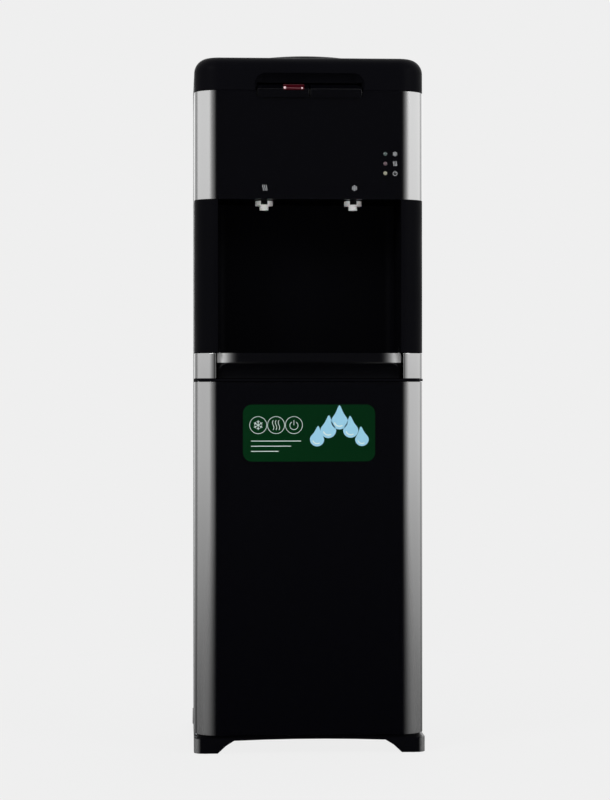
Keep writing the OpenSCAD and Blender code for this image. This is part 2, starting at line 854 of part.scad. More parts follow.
module lock_pocket() {
  block([lock_x[0] - fit, front_y - 10, lock_z], [lock_x[1] + fit, front_y + lock_d + lock_travel, cover_z1]);
}

module hot_key() {
  color(gloss) difference() {
    mirror([1, 0, 0]) key_shape();
    lock_pocket();
  }
}

module cold_key() {
  color(gloss) key_shape();
}

module child_lock() {
  w = lock_x[1] - lock_x[0];
  color([0.7, 0.04, 0.06]) translate([lock_x[0], front_y, lock_z + 0.1]) difference() {
    union() {
      along_x(0, w) hull() {
        translate([-key_proud + 3, 5.3]) circle(2.6, $fn = 32);
        translate([lock_d - 3.5, 5.6]) circle(2.4, $fn = 32);
        translate([-key_proud + 0.2, 0]) square([lock_d + key_proud - 1, 1]);
      }
    }
    for (k = [0:2]) rod_x([w / 2, 1.2 + k * 2.2, 8.4], 0.5, w - 8);
  }
}

module key_pivot_rod() {
  color(steel) rod_x(pivot_pos, rod_r, 2 * tap_x + 40);
}

module key_bracket() {
  x = bracket_x;
  z0 = pivot_pos[2] - 10;
  color([0.15, 0.15, 0.16]) difference() {
    union() {
      block([-x, front_y + shell_t + fit, z0], [x, pivot_pos[1] + 5, z0 + 2.5]);
      block([-x, front_y + shell_t + fit, z0 - 16], [x, front_y + shell_t + 2.3, z0 + 1]);
      for (k = [-1, 0, 1]) translate([k * (tap_x + 13), 0, 0])
        block([-3, pivot_pos[1] - 5, z0], [3, pivot_pos[1] + 5, pivot_pos[2] + 5]);
    }
    rod_x(pivot_pos, rod_r + 0.02, 3 * x);
    for (s = [-1, 1]) translate([s * tap_x, front_y + tap_y, z0 - cut]) cylinder(r = stem_r + 1.5, h = 5);
  }
}

module push_rod() {
  translate([tap_x, front_y + tap_y, 0]) {
    translate([0, 0, seat_z0 - fit - 6]) cylinder(r = plug_r, h = 6);
    translate([0, 0, seat_z0 - 9]) cylinder(r = 3, h = 4);
    translate([0, 0, seat_z0 - 4]) cylinder(r = stem_r, h = pad_z - 0.35 - stem_r - seat_z0 + 4);
    translate([0, 0, pad_z - 0.35 - stem_r]) sphere(stem_r);
  }
}

module hot_push_rod() {
  color([0.85, 0.85, 0.82]) mirror([1, 0, 0]) push_rod();
}

module cold_push_rod() {
  color([0.85, 0.85, 0.82]) push_rod();
}

module valve_spring() {
  low = chamber_z + 0.8;
  high = seat_z0 - fit - 6 - 0.8;
  translate([tap_x, front_y + tap_y, low]) sweep(coil(5.6, (high - low) / 4, 4, 14), 0.5, 6);
}

module hot_valve_spring() {
  color(steel) mirror([1, 0, 0]) valve_spring();
}

module cold_valve_spring() {
  color(steel) valve_spring();
}

// ---------- taps ----------

module faucet() {
  translate([tap_x, front_y + tap_y, 0]) difference() {
    union() {
      translate([0, 0, neck_z]) cylinder(r = 7.4, h = tap_z + cut - neck_z);
      translate([0, 0, ceiling_z - 0.5]) cylinder(r = neck_out, h = shell_t + cut);
      translate([0, 0, tap_z]) cylinder(r = 15, h = 3);
      translate([0, 0, tap_z]) cylinder(r = 12, h = faucet_top - tap_z);
      rod_y([0, 10, inlet_z], 5, 14);
      rod_y([0, 20, inlet_z], 5.6, 2);
    }
    translate([0, 0, neck_z - cut]) cylinder(r = 4, h = chamber_z - neck_z + 2 * cut);
    translate([0, 0, chamber_z]) cylinder(r = 8, h = seat_z0 - chamber_z);
    translate([0, 0, seat_z0 - cut]) cylinder(r = 4, h = 5);
    translate([0, 0, seat_z1]) cylinder(r = 6, h = faucet_top - 4 - seat_z1);
    translate([0, 0, faucet_top - 5]) cylinder(r = stem_r + run, h = 6);
    rod_y([0, 4, inlet_z], 3, 25);
  }
}

module hot_faucet() {
  color(black) mirror([1, 0, 0]) faucet();
}

module cold_faucet() {
  color(black) faucet();
}

// White outlet: two shoulders beside the neck, a plate and the tip
module nozzles() {
  color([0.9, 0.9, 0.92]) for (m = [0, 1]) mirror([m, 0, 0])
    translate([tap_x, front_y + tap_y, 0]) difference() {
      union() {
        translate([0, 0, neck_z - 1.6]) cylinder(r = 12, h = 6.4);
        translate([0, 0, nozzle_z]) cylinder(r = 6, h = 7);
      }
      translate([0, 0, neck_z - 0.2]) cylinder(r = 7.4 + 0.1, h = 9);
      block([-4.6, -20, neck_z - 0.2], [4.6, 0, ceiling_z]);
      translate([0, 0, nozzle_z - cut]) cylinder(r = 4.2, h = 12);
    }
}

// ---------- lamps ----------

module lamp(k, tint) {
  color(tint) translate([lamp_x, front_y, lamp_z - k * lamp_pitch]) {
    rod_y([0, 0.1, 0], lamp_r, 5);
    rod_y([0, shell_t + 0.2, 0], lamp_r + 1, 1.4);
  }
}

module cooling_lamp() {
  lamp(0, [0.1, 0.75, 0.45]);
}

module heating_lamp() {
  lamp(1, [0.85, 0.1, 0.15]);
}

module power_lamp() {
  lamp(2, [0.95, 0.8, 0.2]);
}

module indicator_board() {
  color([0.1, 0.35, 0.16]) {
    block([lamp_x - 20, front_y + 7, lamp_z - 46], [lamp_x + 22, front_y + 8.6, lamp_z + 26]);
    block([lamp_x - 12, front_y + 8.5, lamp_z - 40], [lamp_x + 10, front_y + 20, lamp_z - 26]);
    for (x = [lamp_x - 14, lamp_x + 4])
      block([x, front_y + 8.5, lamp_z - 10], [x + 10, front_y + 14, lamp_z + 8]);
    for (k = [0:2]) rod_y([lamp_x, front_y + 5.4, lamp_z - k * lamp_pitch], 1.5, 2);
  }
}

// ---------- tanks ----------

module cold_tank() {
  t = 0.8;
  color(steel) translate([0, collar_y, 0]) difference() {
    union() {
      translate([0, 0, cold_z0]) cylinder(r = cold_r, h = cold_z1 - cold_z0);
      translate([0, 0, cold_z1 - 1.5]) cylinder(r = cold_r + 6, h = 1.5);
      // outlets to the cold tap and, below, to the hot tank
      rod_y([out_x, -cold_r - 10, inlet_z], 4, 14);
      translate([feed_pos[0], feed_pos[1] - collar_y, cold_z0 - 14]) cylinder(r = 4, h = 14 + t);
    }
    translate([0, 0, cold_z0 + t]) cylinder(r = cold_r - t, h = cold_z1 - cold_z0);
    rod_y([out_x, -cold_r - 11, inlet_z], 3, 20);
    translate([feed_pos[0], feed_pos[1] - collar_y, cold_z0 - 15]) cylinder(r = 3, h = 18);
  }
}

module cold_tank_lid() {
  color([0.92, 0.92, 0.9]) translate([0, collar_y, cold_z1]) difference() {
    union() {
      cylinder(r = cold_r + 6, h = 3);
      translate([0, 0, -4]) cylinder(r = cold_r - 2, h = 5);
      cylinder(r = probe_r + 5, h = 7);
    }
    translate([0, 0, -5]) cylinder(r = probe_r + 0.8, h = 14);
    translate([0, 0, -5]) difference() {
      cylinder(r = cold_r - 4, h = 5);
      translate([0, 0, -1]) cylinder(r = probe_r + 4, h = 7);
    }
  }
}

module cold_tank_foam() {
  r = cold_r + foam_t;
  color([0.93, 0.93, 0.9]) translate([0, collar_y, 0]) difference() {
    translate([0, 0, tap_z + 0.3]) cylinder(r = r, h = foam_z1 - tap_z - 0.3);
    translate([0, 0, cold_z0 - 0.2]) cylinder(r = cold_r + 8, h = 100);
    rod_y([out_x, -r - 5, inlet_z], 7, 40);
    rod_y([0, cold_r - 5, evap_z1], pipe_r + 2, 40);
    translate([feed_pos[0], feed_pos[1] - collar_y, tap_z - cut]) cylinder(r = 7, h = 30);
  }
}

module evaporator_coil() {
  color([0.72, 0.42, 0.26]) translate([0, collar_y, evap_z1 - evap_turns * evap_rise]) rotate([0, 0, 90])
    sweep(coil(cold_r + 4, evap_rise, evap_turns, 24), 2.8, 6);
}

module tank_shelf() {
  y0 = front_y + bay_d + shell_t + 2;
  color(steel) difference() {
    union() {
      slab(tap_z - 1.5, tap_z) intersection() {
        body_front(sheet_t + fit, rear_y - 2 * sheet_t - fit);
        translate([-body_w, y0]) square([2 * body_w, body_d]);
      }
      for (s = [-1, 1]) translate([s * (half_w - sheet_t - 1.3), 0, 0])
        block([-0.7, y0, tap_z - 14], [0.7, rear_y - rear_r - 4, tap_z - 1]);
    }
    for (p = [feed_pos, riser_pos, hot_side_pos]) translate([p[0], p[1], tap_z - 5]) cylinder(r = 7, h = 10);
  }
}

module hot_tank() {
  color(steel) translate([0, hot_y, 0]) difference() {
    union() {
      translate([0, 0, hot_z0]) cylinder(r = hot_r, h = hot_z1 - hot_z0);
      translate([0, 0, hot_z1 - 1]) cylinder(r = hot_r - 4, h = 4);
      for (x = [-feed_pos[0], feed_pos[0]]) translate([x, 0, hot_z1]) cylinder(r = 4, h = 26);
      rod_y([drain_pos[0], 30, drain_pos[2]], 4, rear_y - 24.2 - hot_y - 30);
      // legs on the deck
      for (a = [30, 150, 270]) rotate([0, 0, a]) block([hot_r - 12, -6, deck_z1], [hot_r - 4, 6, hot_z0 + 1]);
    }
    translate([0, 0, hot_z0 + 1]) cylinder(r = hot_r - 1, h = hot_z1 - hot_z0 - 2);
    for (x = [-feed_pos[0], feed_pos[0]]) translate([x, 0, hot_z1 - 2]) cylinder(r = 3, h = 30);
    rod_y([drain_pos[0], 29, drain_pos[2]], 3, rear_y - hot_y - 29);
  }
}

module hot_tank_jacket() {
  color([0.85, 0.82, 0.72]) translate([0, hot_y, 0]) difference() {
    translate([0, 0, hot_z0 + 4]) cylinder(r = hot_r + 12, h = hot_z1 - hot_z0 - 6);
    translate([0, 0, hot_z0]) cylinder(r = hot_r + 0.3, h = 200);
    translate([0, 0, hot_z0 + 27]) cylinder(r = hot_r + 4.3, h = 34);
    block([hot_r - 5, -9, hot_z0], [hot_r + 30, 9, hot_z0 + 63]);
    rod_y([drain_pos[0], 20, drain_pos[2]], 5, 60);
  }
}

module heater_band() {
  color([0.5, 0.42, 0.34]) translate([0, hot_y, hot_z0 + 29]) difference() {
    union() {
      cylinder(r = hot_r + 4, h = 30);
      block([hot_r - 2, -7, 4], [hot_r + 15, 7, 26]);
    }
    translate([0, 0, -cut]) cylinder(r = hot_r + 0.2, h = 40);
    block([hot_r - 8, -1, -cut], [hot_r + 20, 1, 40]);
  }
}

// Silicone tubes: cold tank to cold tap, hot tank to hot tap, and cold tank to hot tank
module water_tubes() {
  r = 4.6;
  y1 = front_y + tap_y + 24.2;
  y2 = y1 + 6;
  tank_y = collar_y - cold_r - 10.2;
  top = hot_z1 + 26.2;
  p = hot_side_pos;
  color([0.93, 0.93, 0.9]) {
    sweep(route([[tap_x, y1, inlet_z], [tap_x, y2, inlet_z], [out_x, y2, inlet_z],
                 [out_x, tank_y, inlet_z]], 4), r);
    sweep(route([[-feed_pos[0], hot_y, top], [-feed_pos[0], hot_y, top + 16], [p[0], p[1], top + 16],
                 [p[0], p[1], inlet_z], [p[0], y2, inlet_z], [-tap_x, y2, inlet_z],
                 [-tap_x, y1, inlet_z]], 5), r);
    translate([feed_pos[0], hot_y, top]) cylinder(r = r, h = cold_z0 - 14.2 - top);
  }
}

// ---------- refrigeration ----------

module compressor_half(z0, h, dome) {
  hull() for (s = [-1, 1]) translate([s * 16, 0, z0]) rotate_extrude($fn = 32)
    polygon(concat([[0, 0], [comp_r, 0]],
                   [for (a = [0:15:90]) [comp_r * (1 - 0.22 * (1 - cos(a))), h - dome + dome * sin(a)]],
                   [[0, h]], [[0, 0]]));
}

module compressor() {
  color([0.07, 0.07, 0.08]) translate(comp_pos) {
    compressor_half(60, 78, 26);
    mirror([0, 0, 1]) compressor_half(-62, 58, 20);
    slab(58, 63) for (s = [-1, 1]) translate([s * 16, 0]) circle(comp_r + 3);
    slab(58, 63) square([32, 2 * comp_r + 6], center = true);
    // foot plate on its four mounts
    difference() {
      block([-74, -44, 0], [74, 44, 2.5]);
      for (x = [-62, 62]) for (y = [-36, 36]) translate([x, y, -cut]) cylinder(r = bolt_r + 0.4, h = 5);
    }
    slab(2, 6) square([110, 70], center = true);
    // terminal box and the three pipe stubs
    block([comp_r + 12, -20, 40], [comp_r + 34, 20, 84]);
    for (k = [0:2]) translate([-44 - 4 * k, -40 + 14 * k, 130])
      cylinder(r = 3, h = stub_z(k) - 0.2 - comp_pos[2] - 130, $fn = 24);
    rod_x([comp_r + 8, 0, 62], 12, 20);
  }
}

module compressor_mounts() {
  color([0.14, 0.14, 0.14]) compressor_places() {
    difference() {
      union() {
        translate([0, 0, base_h]) cylinder(r = 9, h = comp_pos[2] - base_h);
        translate([0, 0, base_h + 5]) cylinder(r = 11, h = 4);
      }
      translate([0, 0, base_h - cut]) cylinder(r = bolt_r + run, h = 20);
    }
    // bolt with its head over the foot plate
    translate([0, 0, arch_mid + 0.5]) cylinder(r = bolt_r, h = comp_pos[2] + 3 - arch_mid);
    translate([0, 0, comp_pos[2] + 2.7]) cylinder(r = 6, h = 3.5);
  }
}

function coil_row_z(k) = coil_z0 + k * coil_pitch;
function stub_z(k) = comp_pos[2] + 146 - 3 * k + 0.2;

module condenser_tube() {
  color([0.1, 0.1, 0.11]) {
    for (k = [0:coil_rows - 1]) rod_x([0, coil_y, coil_row_z(k)], coil_tube_r, 2 * coil_x);
    for (k = [0:coil_rows - 2])
      translate([k % 2 == 0 ? coil_x : -coil_x, coil_y, coil_row_z(k) + coil_pitch / 2])
        rotate([90, 0, 0]) rotate([0, 0, k % 2 == 0 ? -90 : 90]) rotate_extrude(angle = 180)
          translate([coil_pitch / 2, 0]) circle(coil_tube_r, $fn = 32);
  }
}

module condenser_wires() {
  off = coil_tube_r + wire_r + 0.06;
  n = floor((coil_x - 12) / wire_pitch);
  color([0.1, 0.1, 0.11]) for (k = [-n:n]) for (s = [-1, 1])
    translate([k * wire_pitch, coil_y + s * off, coil_z0 - 6])
      cylinder(r = wire_r, h = (coil_rows - 1) * coil_pitch + 12, $fn = 16);
}

// Plastic stand-offs that clip round the condenser
module condenser_clips() {
  color([0.16, 0.16, 0.17]) for (s = [-1, 1]) for (k = [1, coil_rows - 2]) difference() {
    translate([s * (coil_x - 5), 0, coil_row_z(k)])
      block([-4, rear_y - sheet_t, -8], [4, coil_y + 6, 8]);
    rod_x([0, coil_y, coil_row_z(k)], coil_tube_r + 0.05, 3 * coil_x);
  }
}

// Discharge pipe, liquid line with its drier, capillary and suction line
module refrigerant_pipes() {
  c = comp_pos;
  drier = [c[0] + 92, rear_y - 30, step_z - 100];
  top_z = coil_row_z(coil_rows - 1);
  side = coil_x + 21;
  out_z = step_z - 22;
  back_z = step_z - 12;
  color([0.72, 0.42, 0.26]) {
    sweep(route([[c[0] - 52, c[1] - 12, stub_z(2)], [c[0] - 52, c[1] - 12, out_z],
                 [-coil_x + 4, rear_y - 40, out_z], [-coil_x + 4, coil_y, out_z],
                 [-coil_x - 12, coil_y, coil_z0 - 18], [-coil_x - 12, coil_y, coil_z0],
                 [-coil_x - 0.2, coil_y, coil_z0]], 7, 3), 2.4);
    sweep(route([[coil_x + 0.2, coil_y, top_z], [side, coil_y, top_z], [side, coil_y, step_z],
                 [side - 30, coil_y, out_z], [drier[0], drier[1], out_z],
                 [drier[0], drier[1], drier[2] + 64.2]], 7, 3), 2.4);
    sweep(route([[c[0] - 48, c[1] - 26, stub_z(1)], [c[0] - 48, c[1] - 26, back_z],
                 [riser_pos[0], riser_pos[1], back_z], [riser_pos[0], riser_pos[1], evap_z1],
                 [0, riser_pos[1], evap_z1], [0, collar_y + cold_r + 7.2, evap_z1]], 7, 3), pipe_r);
    sweep(route([[drier[0], drier[1], drier[2] - 0.2], [drier[0], drier[1], drier[2] - 16],
                 [drier[0] + 16, drier[1], drier[2] - 16], [drier[0] + 16, drier[1], back_z + 4],
                 [riser_pos[0] + pipe_r + 1.6, riser_pos[1], back_z + 4]], 6, 3), 1.2, 6);
    translate(drier) rotate_extrude($fn = 40)
      polygon([[0, 0], [3, 0], [3, 8], [9, 14], [9, 50], [3, 56], [3, 64], [0, 64]]);
  }
}

// ---------- rear fittings ----------

module panel_screws() {
  color(steel) rear_screw_places() {
    rod_y([0, -8, 0], screw_r, 9);
    difference() {
      rod_y([0, 0, 0], 3.4, 1.8);
      block([-2.4, 1, -0.5], [2.4, 3, 0.5]);
      block([-0.5, 1, -2.4], [0.5, 3, 2.4]);
    }
  }
}

// Bush where a mains lead would enter
module cord_gland() {
  color([0.1, 0.1, 0.11]) translate([gland_pos[0], 0, gland_pos[2]]) difference() {
    union() {
      rod_y([0, rear_y - 6, 0], 7, 12);
      rod_y([0, rear_y - sheet_t, 0], 10, 3);
      rod_y([0, rear_y - 5, 0], 9, 2.8);
    }
    rod_y([0, rear_y - 7, 0], 4, 16);
  }
}

module switch_housing() {
  p = switch_pos;
  color(black) difference() {
    union() {
      block([p[0] - 24, rear_y - sheet_t, p[2] - 16], [p[0] + 24, rear_y + 2, p[2] + 16]);
      block([p[0] - 20.6, rear_y - 20, p[2] - 12.6], [p[0] + 20.6, rear_y, p[2] + 12.6]);
    }
    for (x = [p[0] - 10.2, p[0] + 10.2])
      block([x - 8, rear_y - 12, p[2] - 11.6], [x + 8, rear_y + 4, p[2] + 11.6]);
    rod_x([p[0], rear_y - 1, p[2]], 1.5, 38.6);
  }
}

// Rocker resting with its upper half pressed
module rocker(x) {
  translate([x, rear_y - 1, switch_pos[2]]) rotate([rocker_turn, 0, 0]) {
    along_x(-7.6, 7.6) polygon([[-5, -9], [0, -10.6], [5, -10.6], [3, 0], [5, 10.6], [0, 10.6], [-5, 9]]);
    rod_x([0, 0, 0], 1.44, 17.6);
  }
}

module heating_switch() {
  color([0.75, 0.08, 0.08]) rocker(switch_pos[0] - 10.2);
}

module cooling_switch() {
  color([0.1, 0.5, 0.2]) rocker(switch_pos[0] + 10.2);
}

module drain_outlet() {
  color([0.9, 0.9, 0.88]) difference() {
    union() {
      rod_y([drain_pos[0], rear_y - 24, drain_pos[2]], 8, 38);
      rod_y([drain_pos[0], rear_y - sheet_t, drain_pos[2]], 13, 3);
    }
    rod_y([drain_pos[0], rear_y - 26, drain_pos[2]], 5, 42);
  }
}

module drain_cap() {
  p = [drain_pos[0], rear_y + 4, drain_pos[2]];
  color([0.1, 0.1, 0.11]) difference() {
    rod_y(p, 11, 14);
    rod_y([p[0], p[1] - cut, p[2]], 8 + fit, 11.3);
    for (a = [0:30:330]) rod_y([p[0] + 11.6 * cos(a), p[1] + 3, p[2] + 11.6 * sin(a)], 1.3, 12);
  }
}

base_pan();
foot_pads();
left_side_panel();
right_side_panel();
rear_panel();
middle_deck();
cabinet_liner();
band_trims();
tray_housing();
bay_shell();
upper_front_panel();
top_cover();
bottle_collar();
feed_probe();
drip_tray();
drip_grille();
hot_key();
cold_key();
child_lock();
key_pivot_rod();
key_bracket();
hot_push_rod();
cold_push_rod();
hot_valve_spring();
cold_valve_spring();
hot_faucet();
cold_faucet();
nozzles();
cooling_lamp();
heating_lamp();
power_lamp();
indicator_board();
cold_tank();
cold_tank_lid();
cold_tank_foam();
evaporator_coil();
tank_shelf();
hot_tank();
hot_tank_jacket();
heater_band();
water_tubes();
door_panel();
door_liner();
door_label();
door_catch();
top_hinge();
bottom_hinge();
compressor();
compressor_mounts();
condenser_tube();
condenser_wires();
condenser_clips();
refrigerant_pipes();
panel_screws();
cord_gland();
switch_housing();
heating_switch();
cooling_switch();
drain_outlet();
drain_cap();
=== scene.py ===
import math

import bmesh
import bpy
from bpy.props import FloatProperty, FloatVectorProperty, IntProperty, PointerProperty
from mathutils import Matrix, Vector


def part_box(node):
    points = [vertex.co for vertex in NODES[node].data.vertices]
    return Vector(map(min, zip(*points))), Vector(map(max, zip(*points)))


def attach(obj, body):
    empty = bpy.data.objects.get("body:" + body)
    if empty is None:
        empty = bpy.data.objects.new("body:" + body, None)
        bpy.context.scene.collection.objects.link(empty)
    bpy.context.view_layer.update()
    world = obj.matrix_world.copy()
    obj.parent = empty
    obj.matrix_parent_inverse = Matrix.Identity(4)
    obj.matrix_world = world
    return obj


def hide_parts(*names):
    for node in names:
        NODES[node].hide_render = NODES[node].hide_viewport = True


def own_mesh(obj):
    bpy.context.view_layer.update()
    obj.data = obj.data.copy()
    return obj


bl_info = {
    "name": "Floor-standing water dispenser",
    "version": (1, 0, 0),
    "blender": (4, 5, 0),
    "location": "3D View > Sidebar > Dispenser",
    "description": "Finishes and fine pieces for a floor-standing water dispenser",
    "category": "Object",
}

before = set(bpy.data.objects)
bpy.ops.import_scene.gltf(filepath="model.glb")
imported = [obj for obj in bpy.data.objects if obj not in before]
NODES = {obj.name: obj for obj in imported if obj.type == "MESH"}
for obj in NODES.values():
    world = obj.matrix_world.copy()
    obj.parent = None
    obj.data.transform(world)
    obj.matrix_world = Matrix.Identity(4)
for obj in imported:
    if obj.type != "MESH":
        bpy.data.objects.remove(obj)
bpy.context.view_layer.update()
FRONT_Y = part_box("upper_front_panel")[0].y
HALF_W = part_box("upper_front_panel")[1].x

# Painted reflection on the front mouldings: a band of metallic silver along their bends, standing in for the
# studio's
# reflection there. In metres: how far from their sides it starts and is full, how much further out it is full at
# the floor, and up to what height. It fades out some way behind the front.
BAND_START, BAND_FULL = 0.030, 0.019
BAND_THINNING, THINNING_TOP = 0.018, 0.36
BAND_DEPTH, BASE_BAND_DEPTH, DEPTH_FADE = 0.015, 0.020, 0.006
# The same on the base, where it also ends below the upper edge
BASE_BAND_START, BASE_BAND_FULL, BASE_BAND_DROP = 0.0095, -0.0005, 0.003
MASK_EDGE = 0.0006

# Painted highlight on the ends of the tray's lip, which lies under the tray's tabs: a pale silver standing in for
# the reflection on the lip's ends. How far it reaches from the end, where it is full, how fast it falls off, where
# it stops behind the front, and how much brighter it is
TABS_RISE, LIP_HEIGHT, LIP_MARGIN = 0.0075, 0.0125, 0.0002
HIGHLIGHT_REACH, HIGHLIGHT_FULL, HIGHLIGHT_FALL = 0.04, 0.003, 4.5
HIGHLIGHT_DEPTH = (0.018, 0.020)
HIGHLIGHT_BRIGHTENING = 1.8

# Settings of a smooth range and of a mix of two colours, the mix's sockets for them, and the range that most of a
# noise's values lie in
SMOOTH = {"interpolation_type": "SMOOTHSTEP"}
COLOUR_MIX = {"data_type": "RGBA"}
FIRST, SECOND = 6, 7
NOISE_REACH = {"From Min": 0.3, "From Max": 0.7}

# Edges: the least angle that is eased, the most that counts as flat and the least that stays sharp, in degrees,
# and the rounding on the keys and on the lock
EASED_ANGLE, FLAT_ANGLE, SHARP_BEND, SHARP_EDGE = 35, 0.5, 30, 40
KEY_EDGE, LOCK_EDGE = 0.0013, 0.0019
WELD_DISTANCE = 0.00001

# Camera: lens in millimetres, share of the frame that it is shifted, and its turns in degrees
LENS, SHIFT = 107.07, -0.0125
CAMERA_TURN, CAMERA_AIM, CAMERA_ROLL = 3.0, -0.033, -0.03

# Studio: each softbox with its place, side and power
SOFTBOXES = (("key_softbox", (-1.7, -2.0, 2.1), 0.9, 34),
             ("fill_softbox", (1.9, -1.7, 1.7), 0.9, 22),
             ("rear_softbox", (0.6, 2.2, 2.2), 1.2, 30))
# What reflections see: the walls' light from floor to ceiling, the doorway's half in degrees with its soft end and
# its light, the walls' light from left to right, and the strengths for gloss and for the rest
WALL_LIGHT = ((0.0, 0.4), (0.2, 0.25), (0.33, 0.15), (0.361, 0.165), (0.371, 0.19), (0.387, 0.25), (0.413, 0.37),
              (0.446, 0.52), (0.476, 0.68), (0.5, 0.73), (0.587, 0.95), (0.617, 1.0))
DOORWAY, DOORWAY_LIGHT = (6, 50), 0.02
WALL_SIDES = {"From Min": -1, "To Min": 0.93, "To Max": 1.08}
WALL_STRENGTH, EVEN_STRENGTH = 1.54, 0.55
# Floor: its radius, and the share of its own glow at two distances from the middle
FLOOR_RADIUS = 9
FLOOR_GLOW = {"From Min": 0.3, "From Max": 1.1, "To Min": 0.96, "To Max": 1.0}


# ---------- colours and nodes ----------

def linear(hex_code):
    """Linear colour of an sRGB hex value."""
    parts = [int(hex_code[i:i + 2], 16) / 255 for i in (1, 3, 5)]
    return [c / 12.92 if c <= 0.04045 else ((c + 0.055) / 1.055) ** 2.4 for c in parts]


def rgba(color):
    """Opaque colour with four parts."""
    return [*color[:3], 1]


def per_metre(mm):
    """Whole repeats in a metre of a pattern, from its real width in millimetres."""
    return round(1000 / mm)


def result(source):
    """A node's first usable output, or the output itself."""
    return source if isinstance(source, bpy.types.NodeSocket) else [out for out in source.outputs if out.enabled][0]


def add(tree, kind, inputs=None, links=None, to=None, **settings):
    """Add a node with its settings, its input values and its links, and send its result to a socket."""
    node = tree.nodes.new(kind)
    for name, value in settings.items():
        setattr(node, name, value)
    for name, value in (inputs or {}).items():
        node.inputs[name].default_value = value
    for name, source in (links or {}).items():
        tree.links.new(result(source), node.inputs[name])
    if to is not None:
        tree.links.new(result(node), to)
    return node


def raise_grain(tree, body, place, mm, detail, depth, strength, rough=0.5):
    """Fine unevenness of a width in millimetres and a depth in metres."""
    noise = add(tree, "ShaderNodeTexNoise", {"Scale": per_metre(mm), "Detail": detail, "Roughness": rough},
                {"Vector": place})
    add(tree, "ShaderNodeBump", {"Strength": strength, "Distance": depth}, {"Height": noise}, body.inputs["Normal"])


def cloud_gloss(tree, body, place, mm, detail, least, most):
    """Roughness that changes between two values, in clouds of a width in millimetres."""
    noise = add(tree, "ShaderNodeTexNoise", {"Scale": per_metre(mm), "Detail": detail}, {"Vector": place})
    add(tree, "ShaderNodeMapRange", {**NOISE_REACH, "To Min": least, "To Max": most}, {"Value": noise},
        body.inputs["Roughness"], **SMOOTH)


def mottle_colour(tree, body, place, mm, detail, first, second, reach=None):
    """Base colour in patches of two colours and a width in millimetres, mixed over a reach of the noise."""
    share = add(tree, "ShaderNodeTexNoise", {"Scale": per_metre(mm), "Detail": detail}, {"Vector": place})
    if reach:
        share = add(tree, "ShaderNodeMapRange", {"From Min": reach[0], "From Max": reach[1]}, {"Value": share},
                    **SMOOTH)
    add(tree, "ShaderNodeMix", {FIRST: rgba(first), SECOND: rgba(second)}, {0: share}, body.inputs["Base Color"],
        **COLOUR_MIX)


def start_material(name, color, grain=None, clouds=None, mottle=None, **shader):
    """A material with one Principled shader, set by socket names with underscores, and up to three patterns."""
    material = bpy.data.materials.new(name)
    material.use_nodes = True
    tree = material.node_tree
    tree.nodes.clear()
    body = add(tree, "ShaderNodeBsdfPrincipled", {"Base Color": rgba(color)})
    for socket, value in shader.items():
        body.inputs[socket.replace("_", " ")].default_value = value
    add(tree, "ShaderNodeOutputMaterial", links={"Surface": body})
    place = add(tree, "ShaderNodeTexCoord").outputs["Object"]
    for effect, settings in ((raise_grain, grain), (cloud_gloss, clouds), (mottle_colour, mottle)):
        if settings:
            effect(tree, body, place, **settings)
    return material, tree, body, place


def painted_reflection_within(tree, body, place, share, limits, black, reflection_silver):
    """A share of silver, painted in as a reflection, over black, cut by limits: axis, start, end, and the part left
    before and after.
    """
    xyz = add(tree, "ShaderNodeSeparateXYZ", links={"Vector": place})
    for axis, start, end, before, after in limits:
        part = add(tree, "ShaderNodeMapRange",
                   {"From Min": start, "From Max": end, "To Min": before, "To Max": after},
                   {"Value": xyz.outputs[axis]}, **SMOOTH)
        share = add(tree, "ShaderNodeMath", links={0: share, 1: part}, operation="MULTIPLY")
    add(tree, "ShaderNodeMix", {FIRST: rgba(black), SECOND: rgba(reflection_silver)}, {0: share}, body.inputs["Base Color"],
        **COLOUR_MIX)
    return share


def shade(color, k):
    """A colour made lighter or darker."""
    return [min(1.0, c * k) for c in color[:3]]


def middle_of(node):
    """Centre of a CAD node's box."""
    return [(low + high) / 2 for low, high in zip(*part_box(node))]


# ---------- settings ----------

def colour(name, description, hex_code):
    """A colour that can be set."""
    return FloatVectorProperty(name=name, description=description, subtype="COLOR", size=3, min=0, max=1,
                               default=linear(hex_code))


def length(name, description, least, most, default, precision=4):
    """A length in metres that can be set."""
    return FloatProperty(name=name, description=description, unit="LENGTH", min=least, max=most,
                         precision=precision, default=default)


class DispenserColours(bpy.types.PropertyGroup):
    """Colours of the dispenser"""
    gloss_black: colour("Gloss black", "Front mouldings and door", "#040407")
    satin_black: colour("Satin black", "Cover, bay, base and tray", "#08080B")
    panel_black: colour("Panel black", "Painted side and rear panels", "#17171A")
    # Metallic silver painted on the bends as a reflection, and paler on the tray's lip as a painted highlight
    reflection_silver: colour("Silver lacquer", "Bands on the bent corners", "#A8A8A8")
    lock_red: colour("Lock red", "Child lock", "#34020A")
    label_green: colour("Label green", "Ground of the door label", "#00290F")
    print_grey: colour("Print grey", "Symbols on the panel", "#A3A5A8")
    print_white: colour("Print white", "Label print", "#CFE0DA")
    print_blue: colour("Print blue", "Drops on the label", "#8FC4DC")
    backdrop: colour("Backdrop", "Floor and backdrop", "#EFEFEF")


class DispenserSizes(bpy.types.PropertyGroup):
    """Sizes of the fine pieces"""
    edge: length("Edge rounding", "Rounding of the moulded edges", 0.0001, 0.002, 0.0006)
    stroke: length("Symbol stroke", "Line width of the symbols", 0.0003, 0.002, 0.0008)
    symbol: length("Symbol size", "Height of a symbol on the panel", 0.004, 0.015, 0.0078)
    print_depth: length("Print thickness", "How far the print stands off", 0.00005, 0.0005, 0.00012, 5)
    drops: IntProperty(name="Drops", description="Drops in the label's picture", min=3, max=9, default=5)
    camera_distance: length("Camera distance", "From the camera to the front face", 1, 6, 3.2, 2)
    camera_height: length("Camera height", "Height of the camera", 0.1, 2, 0.489, 2)
